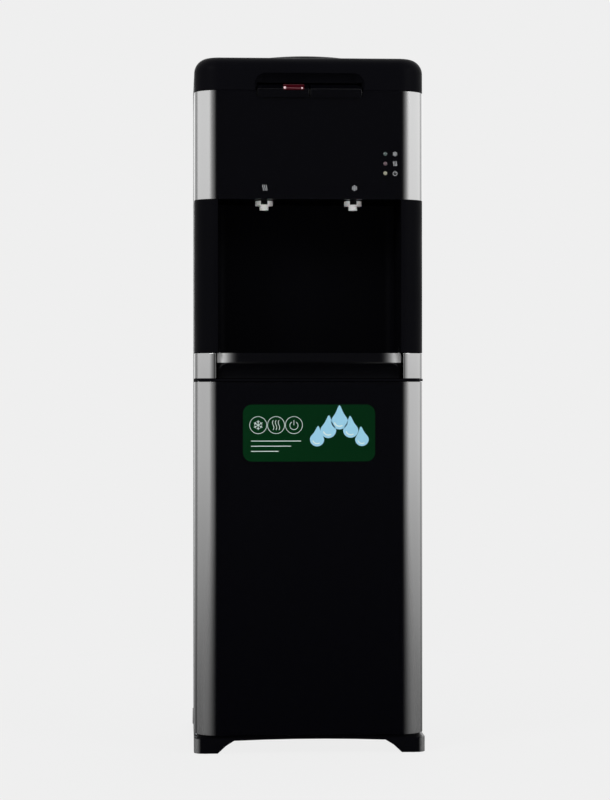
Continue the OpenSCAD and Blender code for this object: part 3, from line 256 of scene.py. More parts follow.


# ---------- materials ----------

# High-gloss ABS, moulded in a polished tool: deep black with a hard, clear reflection, bent a little by swirls
# 11 mm wide. Where the moulding bends back, a band of metallic silver is painted in as the bright reflection along
# the bend: it starts and is full at two distances from the middle, and thins out near the floor, where that
# reflection fades.
def gloss_abs(colours, name, black, band, deep, top=None, gloss=0.5, roughness=0.07, thinning=0.0):
    material, tree, body, place = start_material(
        name, black, dict(mm=11.1, detail=2, depth=0.00001, strength=0.5), Roughness=roughness, IOR=1.53,
        Coat_Weight=0.6 * gloss, Coat_Roughness=0.04, Coat_IOR=1.5, Specular_IOR_Level=gloss)
    xyz = add(tree, "ShaderNodeSeparateXYZ", links={"Vector": place})
    side = add(tree, "ShaderNodeMath", links={0: xyz.outputs["X"]}, operation="ABSOLUTE")
    full = add(tree, "ShaderNodeMapRange",
               {"From Max": THINNING_TOP, "To Min": band[1] + thinning, "To Max": band[1]},
               {"Value": xyz.outputs["Z"]}, **SMOOTH)
    corner = add(tree, "ShaderNodeMapRange", {"From Min": band[0]},
                 {"Value": side, "From Max": full}, **SMOOTH)
    back = FRONT_Y + deep
    limits = [("Y", back, back + DEPTH_FADE, 1, 0)]
    if top:
        limits.append(("Z", top - MASK_EDGE, top, 1, 0))
    # The silver share is a painted reflection
    reflection_share = painted_reflection_within(tree, body, place, corner, limits, black, colours.reflection_silver)
    tree.links.new(result(reflection_share), body.inputs["Metallic"])
    return material


# ABS drip tray, moulded in a polished tool, with a 1.1 mm grain. The ends of its lip carry a painted highlight: a
# pale silver standing in for their reflection, which thins out softly towards the middle
def highlighted_tray_abs(colours, end_x, heights):
    material, tree, body, place = start_material(
        "tray_abs_painted_highlight", colours.satin_black, dict(mm=1.111, detail=2, depth=0.00002, strength=0.4),
        Roughness=0.18, IOR=1.53, Specular_IOR_Level=0.3)
    xyz = add(tree, "ShaderNodeSeparateXYZ", links={"Vector": place})
    side = add(tree, "ShaderNodeMath", links={0: xyz.outputs["X"]}, operation="ABSOLUTE")
    reach = add(tree, "ShaderNodeMapRange", {"From Min": end_x - HIGHLIGHT_REACH, "From Max": end_x - HIGHLIGHT_FULL},
                {"Value": side}, **SMOOTH)
    thin = add(tree, "ShaderNodeMath", {1: HIGHLIGHT_FALL}, {0: reach}, operation="POWER")
    low, high = heights
    limits = (("Y", FRONT_Y + HIGHLIGHT_DEPTH[0], FRONT_Y + HIGHLIGHT_DEPTH[1], 1, 0), ("Z", low - MASK_EDGE, low, 0, 1),
              ("Z", high, high + MASK_EDGE / 2, 1, 0))
    # The pale silver on the lip's ends is a painted highlight
    painted_reflection_within(tree, body, place, thin, limits, colours.satin_black,
                   shade(colours.reflection_silver, HIGHLIGHT_BRIGHTENING))
    return material


# Fine-textured ABS, moulded in a spark-eroded tool: a dry black with a soft sheen at its edges, in clouds 70 mm
# wide. The grain is 0.3 mm and is drawn at 0.8 mm, since finer would not show.
def satin_abs(name, color):
    return start_material(name, color, dict(mm=0.8, detail=3, depth=0.00005, strength=0.35, rough=0.6),
                          dict(mm=71, detail=3, least=0.37, most=0.47), Roughness=0.42, IOR=1.53,
                          Specular_IOR_Level=0.01)[0]


# Smooth ABS for the keys and the grille, moulded in a plain steel tool: between satin and gloss, with flow swirls
# 5 mm wide
def smooth_abs(name, color):
    return start_material(name, color, dict(mm=5, detail=2, depth=0.00002, strength=0.4), Roughness=0.15,
                          IOR=1.53)[0]


# Powder-coated sheet steel: sprayed and baked, with the fine ripple of orange peel, about 1.5 mm wide, and faint
# clouds 110 mm wide
def powder_coat(colours):
    black = colours.panel_black
    return start_material("powder_coated_steel", black,
                          dict(mm=1.538, detail=2, depth=0.00006, strength=0.5, rough=0.45),
                          mottle=dict(mm=111, detail=4, first=shade(black, 0.85), second=shade(black, 1.15)),
                          Roughness=0.42, IOR=1.5, Specular_IOR_Level=0.4)[0]


# Red high-gloss ABS, coloured in the mass and polished: a deep red under a clear skin, with swirls 8 mm wide
def red_abs(colours):
    return start_material("red_high_gloss_abs", colours.lock_red,
                          dict(mm=8.33, detail=1, depth=0.00001, strength=0.5), Roughness=0.12, IOR=1.53,
                          Specular_IOR_Level=0.25, Coat_Weight=0.2, Coat_Roughness=0.05)[0]


# Polystyrene, vacuum-formed: even, with the soft waviness of drawn sheet, 22 mm from wave to wave, and a fine
# 1.1 mm mottle in its gloss
def formed_polystyrene():
    return start_material("vacuum_formed_polystyrene", linear("#6F7073"),
                          dict(mm=22.2, detail=2, depth=0.0003, strength=0.4),
                          dict(mm=1.111, detail=2, least=0.34, most=0.46), Roughness=0.38, IOR=1.59)[0]


# Polypropylene, moulded, in white: waxy, lets a little light in, with flow marks 6 mm wide
def white_polypropylene():
    return start_material("moulded_white_polypropylene", linear("#E6E6E1"),
                          dict(mm=6.25, detail=3, depth=0.00004, strength=0.4), Roughness=0.36, IOR=1.49,
                          Subsurface_Weight=0.15, Subsurface_Scale=0.003)[0]


# Polypropylene in black, satin from an etched tool: its grain is 0.9 mm wide
def black_polypropylene():
    return start_material("moulded_black_polypropylene", linear("#121214"),
                          dict(mm=0.909, detail=2, depth=0.00004, strength=0.4), Roughness=0.45, IOR=1.49,
                          Specular_IOR_Level=0.35)[0]


# Stainless steel sheet, brushed along its length: fine lines 0.2 mm apart, drawn at 0.5 mm, since finer would not
# show
def brushed_stainless():
    steel = linear("#C4C6C8")
    material, tree, body, place = start_material("brushed_stainless_steel", steel, Metallic=1.0, Roughness=0.3)
    stretched = add(tree, "ShaderNodeMapping", {"Scale": (1, 1, 60)}, {"Vector": place})
    lines = add(tree, "ShaderNodeTexNoise", {"Scale": per_metre(28.6), "Detail": 4}, {"Vector": stretched})
    add(tree, "ShaderNodeBump", {"Strength": 0.5, "Distance": 0.00003}, {"Height": lines}, body.inputs["Normal"])
    add(tree, "ShaderNodeMapRange", {**NOISE_REACH, "To Min": 0.24, "To Max": 0.4}, {"Value": lines},
        body.inputs["Roughness"], **SMOOTH)
    return material


# Spring wire, drawn stainless: bright, with fine scratches 0.7 mm long
def drawn_spring_steel():
    return start_material("drawn_spring_steel", linear("#C9CBCC"),
                          clouds=dict(mm=0.6667, detail=2, least=0.16, most=0.32), Metallic=1.0, Roughness=0.22)[0]


# Zinc-plated steel: pale and slightly blue, with patches from the bath about 6 mm wide
def zinc_plate():
    zinc = linear("#B9BCC1")
    material, tree, body, place = start_material("zinc_plated_steel", zinc, Metallic=1.0, Roughness=0.34)
    patches = add(tree, "ShaderNodeTexVoronoi", {"Scale": per_metre(6.25)}, {"Vector": place})
    dark, light = rgba(linear("#AEB2B9")), rgba(linear("#C6C8CA"))
    add(tree, "ShaderNodeMix", {FIRST: dark, SECOND: light}, {0: patches}, body.inputs["Base Color"], **COLOUR_MIX)
    add(tree, "ShaderNodeMapRange", {"From Min": 0.0, "From Max": 0.8, "To Min": 0.26, "To Max": 0.42},
        {"Value": patches}, body.inputs["Roughness"], **SMOOTH)
    return material


# Acetal, moulded: dense bright white with a clean, slightly slippery gloss and flow marks 4 mm wide
def white_acetal():
    return start_material("moulded_white_acetal", linear("#FCFCFA"),
                          dict(mm=3.85, detail=2, depth=0.00002, strength=0.4), Roughness=0.28, IOR=1.48,
                          Subsurface_Weight=0.1, Subsurface_Scale=0.002)[0]


# Copper tube, drawn and soft-soldered: warm, dulled in patches 25 mm long where it was heated
def drawn_copper():
    return start_material("drawn_copper_tube", linear("#B87752"),
                          clouds=dict(mm=25, detail=5, least=0.26, most=0.5),
                          mottle=dict(mm=25, detail=5, first=linear("#C58660"), second=linear("#7E4A34"),
                                      reach=(0.35, 0.7)), Metallic=1.0, Roughness=0.32)[0]


# Expanded polystyrene: beads about 3.5 mm across, pressed against each other, with darker seams between them
def bead_foam():
    material, tree, body, place = start_material("expanded_polystyrene", linear("#ECECE8"), Roughness=0.8,
                                                 Specular_IOR_Level=0.3)
    beads = add(tree, "ShaderNodeTexVoronoi", {"Scale": per_metre(3.51)}, {"Vector": place},
                feature="SMOOTH_F1")
    add(tree, "ShaderNodeBump", {"Strength": -0.7, "Distance": 0.0006}, {"Height": beads}, body.inputs["Normal"])
    bead, seam = rgba(linear("#F1F1EE")), rgba(linear("#D9D9D3"))
    add(tree, "ShaderNodeMix", {FIRST: bead, SECOND: seam}, {0: beads}, body.inputs["Base Color"], **COLOUR_MIX)
    return material


# Heat-proof foam jacket: cream, open and dry, with pores 1.7 mm apart
def jacket_foam():
    material, tree, body, place = start_material("heat_proof_foam", linear("#D8CEB2"), Roughness=0.9,
                                                 Specular_IOR_Level=0.2)
    pores = add(tree, "ShaderNodeTexVoronoi", {"Scale": per_metre(1.667)}, {"Vector": place})
    add(tree, "ShaderNodeBump", {"Strength": 0.6, "Distance": 0.0004}, {"Height": pores}, body.inputs["Normal"])
    return material


# Mica heater in a thin metal sheath: brown, dulled by heat in patches 12 mm wide
def mica_band():
    return start_material("mica_heater_sheath", linear("#8A7462"),
                          mottle=dict(mm=12.5, detail=4, first=linear("#8A7462"), second=linear("#5B4B43"),
                                      reach=(0.35, 0.65)), Metallic=0.8, Roughness=0.45)[0]


# Silicone tube, extruded: milky and soft, its gloss clouded every 8 mm
def milky_silicone():
    return start_material("extruded_silicone", linear("#E4E4DE"),
                          clouds=dict(mm=8.33, detail=2, least=0.34, most=0.48), Roughness=0.4, IOR=1.41,
                          Subsurface_Weight=0.3, Subsurface_Scale=0.004)[0]


# Rubber, moulded: deep matt black with a bloom of fine dust in 2 mm specks
def moulded_rubber():
    return start_material("moulded_rubber", linear("#161616"),
                          dict(mm=2, detail=4, depth=0.00008, strength=0.5),
                          mottle=dict(mm=2, detail=4, first=linear("#111111"), second=linear("#232323")),
                          Roughness=0.75, IOR=1.52, Specular_IOR_Level=0.3)[0]


# Stoved enamel on pressed steel, thick and glossy, as on a sealed compressor, with sags 14 mm wide
def stoved_enamel():
    return start_material("stoved_enamel", linear("#101012"),
                          dict(mm=14.3, detail=3, depth=0.00025, strength=0.4), Roughness=0.22, IOR=1.52)[0]


# Epoxy lacquer on a circuit board: green with the copper showing faintly through, in tracks 4 mm apart
def board_lacquer():
    board = linear("#1D6B36")
    material, tree, body, place = start_material("lacquered_glass_fibre", board, Roughness=0.3, IOR=1.55)
    tracks = add(tree, "ShaderNodeTexBrick", {"Scale": per_metre(3.85), "Mortar Size": 0.06}, {"Vector": place})
    green, copper = rgba(linear("#1A6231")), rgba(linear("#3A8A4B"))
    add(tree, "ShaderNodeMix", {FIRST: green, SECOND: copper}, {0: tracks.outputs["Fac"]},
        body.inputs["Base Color"], **COLOUR_MIX)
    return material


# Self-adhesive film, printed and laminated: even colour under a clear skin with ripples 17 mm wide
def label_film(colours):
    material, tree, body, place = start_material(
        "laminated_label_film", colours.label_green, dict(mm=16.7, detail=1, depth=0.00003, strength=0.4),
        Roughness=0.26, IOR=1.5, Specular_IOR_Level=0.2, Coat_Weight=0.05, Coat_Roughness=0.1)
    xyz = add(tree, "ShaderNodeSeparateXYZ", links={"Vector": place})
    low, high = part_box("door_label")
    across = add(tree, "ShaderNodeMapRange", {"From Min": low.x, "From Max": high.x}, {"Value": xyz.outputs["X"]},
                 **SMOOTH)
    light, dark = rgba(shade(colours.label_green, 1.05)), rgba(shade(colours.label_green, 0.9))
    add(tree, "ShaderNodeMix", {FIRST: light, SECOND: dark}, {0: across}, body.inputs["Base Color"],
        **COLOUR_MIX)
    return material


# Screen-printed ink: opaque and matt, with the 0.4 mm mesh of the screen faintly in it
def ink(name, color):
    return start_material(name, color,
                          mottle=dict(mm=0.4, detail=1, first=shade(color, 0.95), second=shade(color, 1.03)),
                          Roughness=0.5, IOR=1.5)[0]


# Clear tinted lens over a small lamp: glossy, with a 1.1 mm ripple and a weak painted glow, though its lamp is not
# lit
def lamp_lens(name, color, glow):
    return start_material(name, color, dict(mm=1.111, detail=1, depth=0.00003, strength=0.3), Roughness=0.15,
                          IOR=1.49, Emission_Color=rgba(color), Emission_Strength=glow)[0]


# Polycarbonate rocker, moulded in colour: glossy, with a 1.4 mm ripple
def rocker_polycarbonate(name, color):
    return start_material(name, color, dict(mm=1.429, detail=1, depth=0.00002, strength=0.4), Roughness=0.22,
                          IOR=1.58)[0]


def paint(material, *names):
    """Give CAD nodes a material."""
    for name in names:
        data = NODES[name].data
        data.materials.clear()
        data.materials.append(material)


def ease_edges(width, *names, segments=2):
    """Small rounding on the edges of CAD nodes, so that they catch the light."""
    for name in names:
        piece = NODES[name]
        weld = piece.modifiers.new("join_faces", "WELD")
        weld.merge_threshold = WELD_DISTANCE
        join = piece.modifiers.new("flat_faces", "DECIMATE")
        join.decimate_type = "DISSOLVE"
        join.angle_limit = math.radians(FLAT_ANGLE)
        bevel = piece.modifiers.new("edge_rounding", "BEVEL")
        bevel.width = width
        bevel.segments = segments
        bevel.limit_method = "ANGLE"
        bevel.angle_limit = math.radians(EASED_ANGLE)
        bevel.use_clamp_overlap = True
        shading = piece.modifiers.new("even_shading", "WEIGHTED_NORMAL")
        shading.mode = "FACE_AREA"
        shading.weight = 90
        piece.data.shade_smooth()


def smooth_bends(*names):
    """Even shading over the bends of CAD nodes, with their edges left sharp."""
    for name in names:
        piece = NODES[name]
        weld = piece.modifiers.new("join_faces", "WELD")
        weld.merge_threshold = WELD_DISTANCE
        split = piece.modifiers.new("sharp_edges", "EDGE_SPLIT")
        split.split_angle = math.radians(SHARP_BEND)
        piece.data.shade_smooth()


# ---------- pieces ----------

def keep_piece(name, mesh_builder, body, material, smooth=True):
    """Turn a filled bmesh into a piece that rides on a body."""
    data = bpy.data.meshes.new(name)
    bmesh.ops.recalc_face_normals(mesh_builder, faces=mesh_builder.faces[:])
    mesh_builder.to_mesh(data)
    mesh_builder.free()
    if smooth:
        data.shade_smooth()
        data.set_sharp_from_angle(angle=math.radians(SHARP_EDGE))
    data.materials.append(material)
    piece = bpy.data.objects.new(name, data)
    bpy.context.scene.collection.objects.link(piece)
    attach(piece, body)
    return piece


def stroke(builder, points, width, y, depth, closed=False):
    """A flat line of some width along points in x and z, standing off a surface at y."""
    n = len(points)
    left, right = [], []
    for i, point in enumerate(points):
        before = points[i - 1] if closed or i > 0 else point
        after = points[(i + 1) % n] if closed or i < n - 1 else point
        along = (Vector(after) - Vector(before)).normalized()
        across = Vector((-along.y, along.x)) * width / 2
        left.append(Vector(point) + across)
        right.append(Vector(point) - across)
    front = [(builder.verts.new((a.x, y - depth, a.y)), builder.verts.new((b.x, y - depth, b.y)))
             for a, b in zip(left, right)]
    back = [(builder.verts.new((a.x, y, a.y)), builder.verts.new((b.x, y, b.y))) for a, b in zip(left, right)]
    for i in range(n if closed else n - 1):
        j = (i + 1) % n
        builder.faces.new((front[i][0], front[j][0], front[j][1], front[i][1]))
        builder.faces.new((back[i][1], back[j][1], back[j][0], back[i][0]))
        builder.faces.new((front[i][0], back[i][0], back[j][0], front[j][0]))
        builder.faces.new((front[i][1], front[j][1], back[j][1], back[i][1]))
    if not closed:
        for i in (0, n - 1):
            builder.faces.new((front[i][0], front[i][1], back[i][1], back[i][0]))


def patch(builder, outline, y, depth):
    """A filled flat shape with an outline in x and z."""
    front = [builder.verts.new((p[0], y - depth, p[1])) for p in outline]
    back = [builder.verts.new((p[0], y, p[1])) for p in outline]
    builder.faces.new(front)
    builder.faces.new(back[::-1])
    for i in range(len(outline)):
        j = (i + 1) % len(outline)
        builder.faces.new((front[i], back[i], back[j], front[j]))


def tube(builder, points, r, sides=10):
    """Round wire along points, closed at its ends."""
    rings = []
    for i, point in enumerate(points):
        along = (points[min(i + 1, len(points) - 1)] - points[max(i - 1, 0)]).normalized()
        side = along.cross(Vector((0, 0, 1))).normalized()
        up = side.cross(along)
        angles = [2 * math.pi * k / sides for k in range(sides)]
        rings.append([builder.verts.new(point + r * (side * math.cos(a) + up * math.sin(a))) for a in angles])
    for low, high in zip(rings, rings[1:]):
        for k in range(sides):
            builder.faces.new((low[k], low[(k + 1) % sides], high[(k + 1) % sides], high[k]))
    builder.faces.new(rings[0][::-1])
    builder.faces.new(rings[-1])


def ring_points(cx, cz, r, start=0, turn=360, n=40):
    """Points round a ring or an arc, with angles in degrees."""
    steps = n if turn < 360 else n - 1
    angles = [math.radians(start + turn * i / n) for i in range(steps + 1)]
    return [(cx + r * math.cos(a), cz + r * math.sin(a)) for a in angles]


def snowflake(builder, cx, cz, size, width, y, depth):
    """Six arms with a pair of twigs on each."""
    r = size / 2
    fork, twig, twig_turn = 0.56 * r, 0.36 * r, math.radians(52)
    for k in range(6):
        arm = math.radians(30 + 60 * k)
        c, s = math.cos(arm), math.sin(arm)
        stroke(builder, [(cx, cz), (cx + r * c, cz + r * s)], width, y, depth)
        for side in (1, -1):
            a = arm + side * twig_turn
            p = (cx + fork * c, cz + fork * s)
            stroke(builder, [p, (p[0] + twig * math.cos(a), p[1] + twig * math.sin(a))], width, y, depth)


def heat_waves(builder, cx, cz, size, width, y, depth):
    """Three rising waves."""
    gap, swing, steps = size * 0.3, size * 0.07, 12
    for k in (-1, 0, 1):
        points = [(cx + k * gap + swing * math.sin(2 * math.pi * i / steps), cz - size / 2 + size * i / steps)
                  for i in range(steps + 1)]
        stroke(builder, points, width, y, depth)


def power_mark(builder, cx, cz, size, width, y, depth):
    """Open ring with an upright line."""
    r = size * 0.42
    stroke(builder, ring_points(cx, cz - size * 0.05, r, 122, 296), width, y, depth)
    stroke(builder, [(cx, cz - size * 0.02), (cx, cz + size / 2)], width, y, depth)


def drop_outline(cx, cz, r, lean=0.0, n=28):
    """A falling drop, its point up."""
    points = []
    for i in range(n):
        a = 2 * math.pi * i / n
        k = 1 + 0.9 * max(0.0, math.sin(a)) ** 6
        x, z = r * math.cos(a) * (1 - 0.35 * max(0.0, math.sin(a)) ** 2), r * math.sin(a) * k
        points.append((cx + x * math.cos(lean) - z * math.sin(lean), cz + x * math.sin(lean) + z * math.cos(lean)))
    return points


# ---------- operators ----------

class DISPENSER_OT_stage(bpy.types.Operator):
    """Floor, backdrop, lights and camera"""
    bl_idname = "dispenser.stage"
    bl_label = "Stage"

    def execute(self, context):
        scene = context.scene
        colours, sizes = scene.dispenser_colours, scene.dispenser_sizes
        scene.view_settings.view_transform = "Standard"
        self.make_floor(colours)
        self.make_world(scene, colours)
        self.make_lamps(scene)
        self.make_camera(scene, sizes)
        return {"FINISHED"}

    def make_floor(self, colours):
        """Pale floor that runs into the backdrop, a little darker near the object, and keeps its shadow."""
        builder = bmesh.new()
        bmesh.ops.create_circle(builder, cap_ends=True, segments=96, radius=FLOOR_RADIUS)
        data = bpy.data.meshes.new("floor")
        builder.to_mesh(data)
        builder.free()
        floor = bpy.data.objects.new("floor", data)
        bpy.context.scene.collection.objects.link(floor)
        floor.visible_glossy = False
        material = bpy.data.materials.new("pale_floor")
        material.use_nodes = True
        tree = material.node_tree
        tree.nodes.clear()
        color = rgba(colours.backdrop)
        rays = add(tree, "ShaderNodeLightPath")
        lit = add(tree, "ShaderNodeBsdfDiffuse", {"Color": color})
        glow = add(tree, "ShaderNodeEmission", {"Color": color, "Strength": 1.0})
        place = add(tree, "ShaderNodeTexCoord").outputs["Object"]
        far = add(tree, "ShaderNodeVectorMath", links={0: place}, operation="LENGTH")
        glowing = add(tree, "ShaderNodeMapRange", FLOOR_GLOW, {"Value": far}, **SMOOTH)
        share = add(tree, "ShaderNodeMath", operation="MULTIPLY",
                    links={0: rays.outputs["Is Camera Ray"], 1: glowing})
        mix = add(tree, "ShaderNodeMixShader", links={0: share, 1: lit, 2: glow})
        add(tree, "ShaderNodeOutputMaterial", links={"Surface": mix})
        data.materials.append(material)

    def make_world(self, scene, colours):
        """Pale backdrop for the eye, and for reflections a studio with pale walls and a dark doorway in front."""
        world = bpy.data.worlds.new("studio")
        scene.world = world
        world.use_nodes = True
        tree = world.node_tree
        tree.nodes.clear()
        rays = add(tree, "ShaderNodeLightPath")
        ray_way = add(tree, "ShaderNodeTexCoord").outputs["Generated"]
        xyz = add(tree, "ShaderNodeSeparateXYZ", links={"Vector": ray_way})
        flat = add(tree, "ShaderNodeCombineXYZ", links={"X": xyz.outputs["X"], "Y": xyz.outputs["Y"]})
        facing = add(tree, "ShaderNodeVectorMath", links={0: flat}, operation="NORMALIZE")
        y = add(tree, "ShaderNodeSeparateXYZ", links={"Vector": facing}).outputs["Y"]
        inner, outer = [-math.cos(math.radians(angle)) for angle in DOORWAY]
        walls = add(tree, "ShaderNodeMapRange", {"From Min": inner, "From Max": outer, "To Min": DOORWAY_LIGHT},
                    {"Value": y}, **SMOOTH)
        height = add(tree, "ShaderNodeMath", {1: 0.5}, {0: xyz.outputs["Z"]})
        rise = add(tree, "ShaderNodeValToRGB", links={"Fac": height})
        ramp = rise.color_ramp
        for place, light in WALL_LIGHT[1:-1]:
            ramp.elements.new(place)
        for element, (place, light) in zip(ramp.elements, WALL_LIGHT):
            element.position = place
            element.color = (light, light, light, 1)
        side = add(tree, "ShaderNodeMapRange", WALL_SIDES, {"Value": xyz.outputs["X"]})
        level = add(tree, "ShaderNodeMath", links={0: walls, 1: rise}, operation="MULTIPLY")
        sided = add(tree, "ShaderNodeMath", links={0: level, 1: side}, operation="MULTIPLY")
        studio = add(tree, "ShaderNodeMath", {1: WALL_STRENGTH}, {0: sided}, operation="MULTIPLY")
        mirrored = add(tree, "ShaderNodeBackground", {"Color": (1, 1, 1, 1)}, {"Strength": studio})
        even = add(tree, "ShaderNodeBackground", {"Color": (1, 1, 1, 1), "Strength": EVEN_STRENGTH})
        pale = add(tree, "ShaderNodeBackground", {"Color": rgba(colours.backdrop), "Strength": 1.0})
        lit = add(tree, "ShaderNodeMixShader", links={0: rays.outputs["Is Glossy Ray"], 1: even, 2: mirrored})
        straight = add(tree, "ShaderNodeMath", operation="MAXIMUM",
                       links={0: rays.outputs["Is Camera Ray"], 1: rays.outputs["Is Transmission Ray"]})
        seen = add(tree, "ShaderNodeMixShader", links={0: straight, 1: lit, 2: pale})
        add(tree, "ShaderNodeOutputWorld", links={"Surface": seen})

    def make_lamps(self, scene):
        """Softboxes turned to the middle of the object. The rear one isn't reflected."""
        middle = Vector((0, 0, 0.5))
        for name, place, size, power in SOFTBOXES:
            data = bpy.data.lights.new(name, "AREA")
            data.shape = "SQUARE"
            data.size = size
            data.energy = power
            lamp = bpy.data.objects.new(name, data)
            lamp.location = place
            lamp.rotation_euler = (middle - Vector(place)).to_track_quat("-Z", "Y").to_euler()
            lamp.visible_camera = False
            lamp.visible_glossy = name != "rear_softbox"
            scene.collection.objects.link(lamp)

    def make_camera(self, scene, sizes):
        """Level camera in front, a little to the left of the object's middle plane."""
        data = bpy.data.cameras.new("camera")
        data.lens = LENS
        data.sensor_width = 36
        data.shift_y = SHIFT
        data.clip_end = 50
        camera = bpy.data.objects.new("camera", data)
        turn, aim, roll = math.radians(CAMERA_TURN), math.radians(CAMERA_AIM), math.radians(CAMERA_ROLL)
        out = sizes.camera_distance - FRONT_Y
        camera.location = (-out * math.sin(turn), -out * math.cos(turn), sizes.camera_height)
        level = Matrix.Rotation(math.radians(90), 4, "X")
        camera.rotation_mode = "QUATERNION"
        camera.rotation_quaternion = (Matrix.Rotation(-turn + aim, 4, "Z") @ level
                                      @ Matrix.Rotation(roll, 4, "Z")).to_quaternion()
        scene.collection.objects.link(camera)
        scene.camera = camera


class DISPENSER_OT_front_shell(bpy.types.Operator):
    """Glossy door, upper panel and corner trims"""
    bl_idname = "dispenser.front_shell"
    bl_label = "Front shell"

    def execute(self, context):
        colours, sizes = context.scene.dispenser_colours, context.scene.dispenser_sizes
        band = (HALF_W - BAND_START, HALF_W - BAND_FULL)
        all_over = (0.0, 0.001)
        # The silver band on the shell and the silver over the trims' whole front are painted reflections
        shell = gloss_abs(colours, "high_gloss_moulded_abs", colours.gloss_black, band, BAND_DEPTH,
                          thinning=BAND_THINNING)
        trims = gloss_abs(colours, "trim_abs_painted_reflection", colours.gloss_black, all_over, BAND_DEPTH)
        paint(shell, "door_panel", "upper_front_panel")
        paint(trims, "band_trims")
        ease_edges(sizes.edge, "door_panel", "upper_front_panel", "band_trims")
        return {"FINISHED"}


class DISPENSER_OT_dark_mouldings(bpy.types.Operator):
    """Top cover, bay, base, deck and tray housing"""
    bl_idname = "dispenser.dark_mouldings"
    bl_label = "Dark mouldings"

    def execute(self, context):
        colours, sizes = context.scene.dispenser_colours, context.scene.dispenser_sizes
        textured = satin_abs("fine_textured_moulded_abs", colours.satin_black)
        paint(textured, "bay_shell", "middle_deck", "tray_housing")
        paint(satin_abs("fine_textured_cover_abs", shade(colours.satin_black, 1.15)), "top_cover")
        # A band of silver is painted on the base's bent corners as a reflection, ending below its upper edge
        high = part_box("base_pan")[1]
        band = (high.x - BASE_BAND_START, high.x - BASE_BAND_FULL)
        base = gloss_abs(colours, "base_abs_painted_reflection", colours.satin_black, band, BASE_BAND_DEPTH,
                         high.z - BASE_BAND_DROP, gloss=0.02, roughness=0.2)
        paint(base, "base_pan")
        ease_edges(sizes.edge, "top_cover", "bay_shell", "base_pan", "middle_deck")
        return {"FINISHED"}


class DISPENSER_OT_keys(bpy.types.Operator):
    """Hot key, cold key, the red child lock, and the drip tray with its grille"""
    bl_idname = "dispenser.keys"
    bl_label = "Keys and drip tray"

    def execute(self, context):
        colours, sizes = context.scene.dispenser_colours, context.scene.dispenser_sizes
        paint(smooth_abs("smooth_key_abs", colours.gloss_black), "hot_key", "cold_key")
        paint(smooth_abs("smooth_grille_abs", colours.satin_black), "drip_grille")
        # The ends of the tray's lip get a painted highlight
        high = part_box("drip_tray")[1]
        lip_top = high.z - TABS_RISE
        paint(highlighted_tray_abs(colours, high.x, (lip_top - LIP_HEIGHT, lip_top + LIP_MARGIN)), "drip_tray")
        paint(red_abs(colours), "child_lock")
        ease_edges(KEY_EDGE, "hot_key", "cold_key", segments=4)
        ease_edges(LOCK_EDGE, "child_lock", segments=5)
        smooth_bends("drip_tray")
        ease_edges(sizes.edge / 2, "drip_grille")
        self.painted_lock_highlight(sizes.print_depth)
        return {"FINISHED"}

    def painted_lock_highlight(self, depth):
        """Painted highlight along the front of the child lock, standing in for its glints: a pinkish line from a
        large white dot to a small one.
        """
        low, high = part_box("child_lock")
        face = low.y + depth - 0.00003
        z = low.z + 0.0025
        left, right = low.x + 0.0024, high.x - 0.0032
        fall, line_width, large, small, dots_out, large_up = 0.0002, 0.0006, 0.0017, 0.0012, 0.0004, 0.0004
        # The pink line and the white dots are painted highlights, drawn with the ink material
        pink, white = ink("lock_highlight_pink", linear("#7E4E55")), ink("lock_highlight_white", linear("#E8C8CD"))
        builder = bmesh.new()
        stroke(builder, [(left, z), (right, z - fall)], line_width, face, depth)
        keep_piece("lock_highlight_line", builder, "child_lock", pink, smooth=False)
        builder = bmesh.new()
        patch(builder, ring_points(left - dots_out, z + large_up, large), face, depth)
        patch(builder, ring_points(right + dots_out, z - fall, small), face, depth)
        keep_piece("lock_highlight_dots", builder, "child_lock", white, smooth=False)


class DISPENSER_OT_symbols(bpy.types.Operator):
    """Printed symbols on the upper panel"""
    bl_idname = "dispenser.symbols"
    bl_label = "Symbols"

    def execute(self, context):
        colours, sizes = context.scene.dispenser_colours, context.scene.dispenser_sizes
        grey = ink("screen_printed_grey", colours.print_grey)
        y, depth = FRONT_Y, sizes.print_depth
        size, width = sizes.symbol, sizes.stroke
        tap_x = middle_of("cold_faucet")[0]
        tap_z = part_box("upper_front_panel")[0].z + 0.0150
        lamp_gap, lamp_size, lamp_width = 0.0132, size * 0.82, width * 0.9
        builder = bmesh.new()
        heat_waves(builder, -tap_x, tap_z, size, width, y, depth)
        snowflake(builder, tap_x, tap_z, size, width, y, depth)
        keep_piece("tap_symbols", builder, "cabinet", grey, smooth=False)
        builder = bmesh.new()
        for node, draw in (("cooling_lamp", snowflake), ("heating_lamp", heat_waves), ("power_lamp", power_mark)):
            cx, _, cz = middle_of(node)
            draw(builder, cx + lamp_gap, cz, lamp_size, lamp_width, y, depth)
        keep_piece("lamp_symbols", builder, "cabinet", grey, smooth=False)
        return {"FINISHED"}


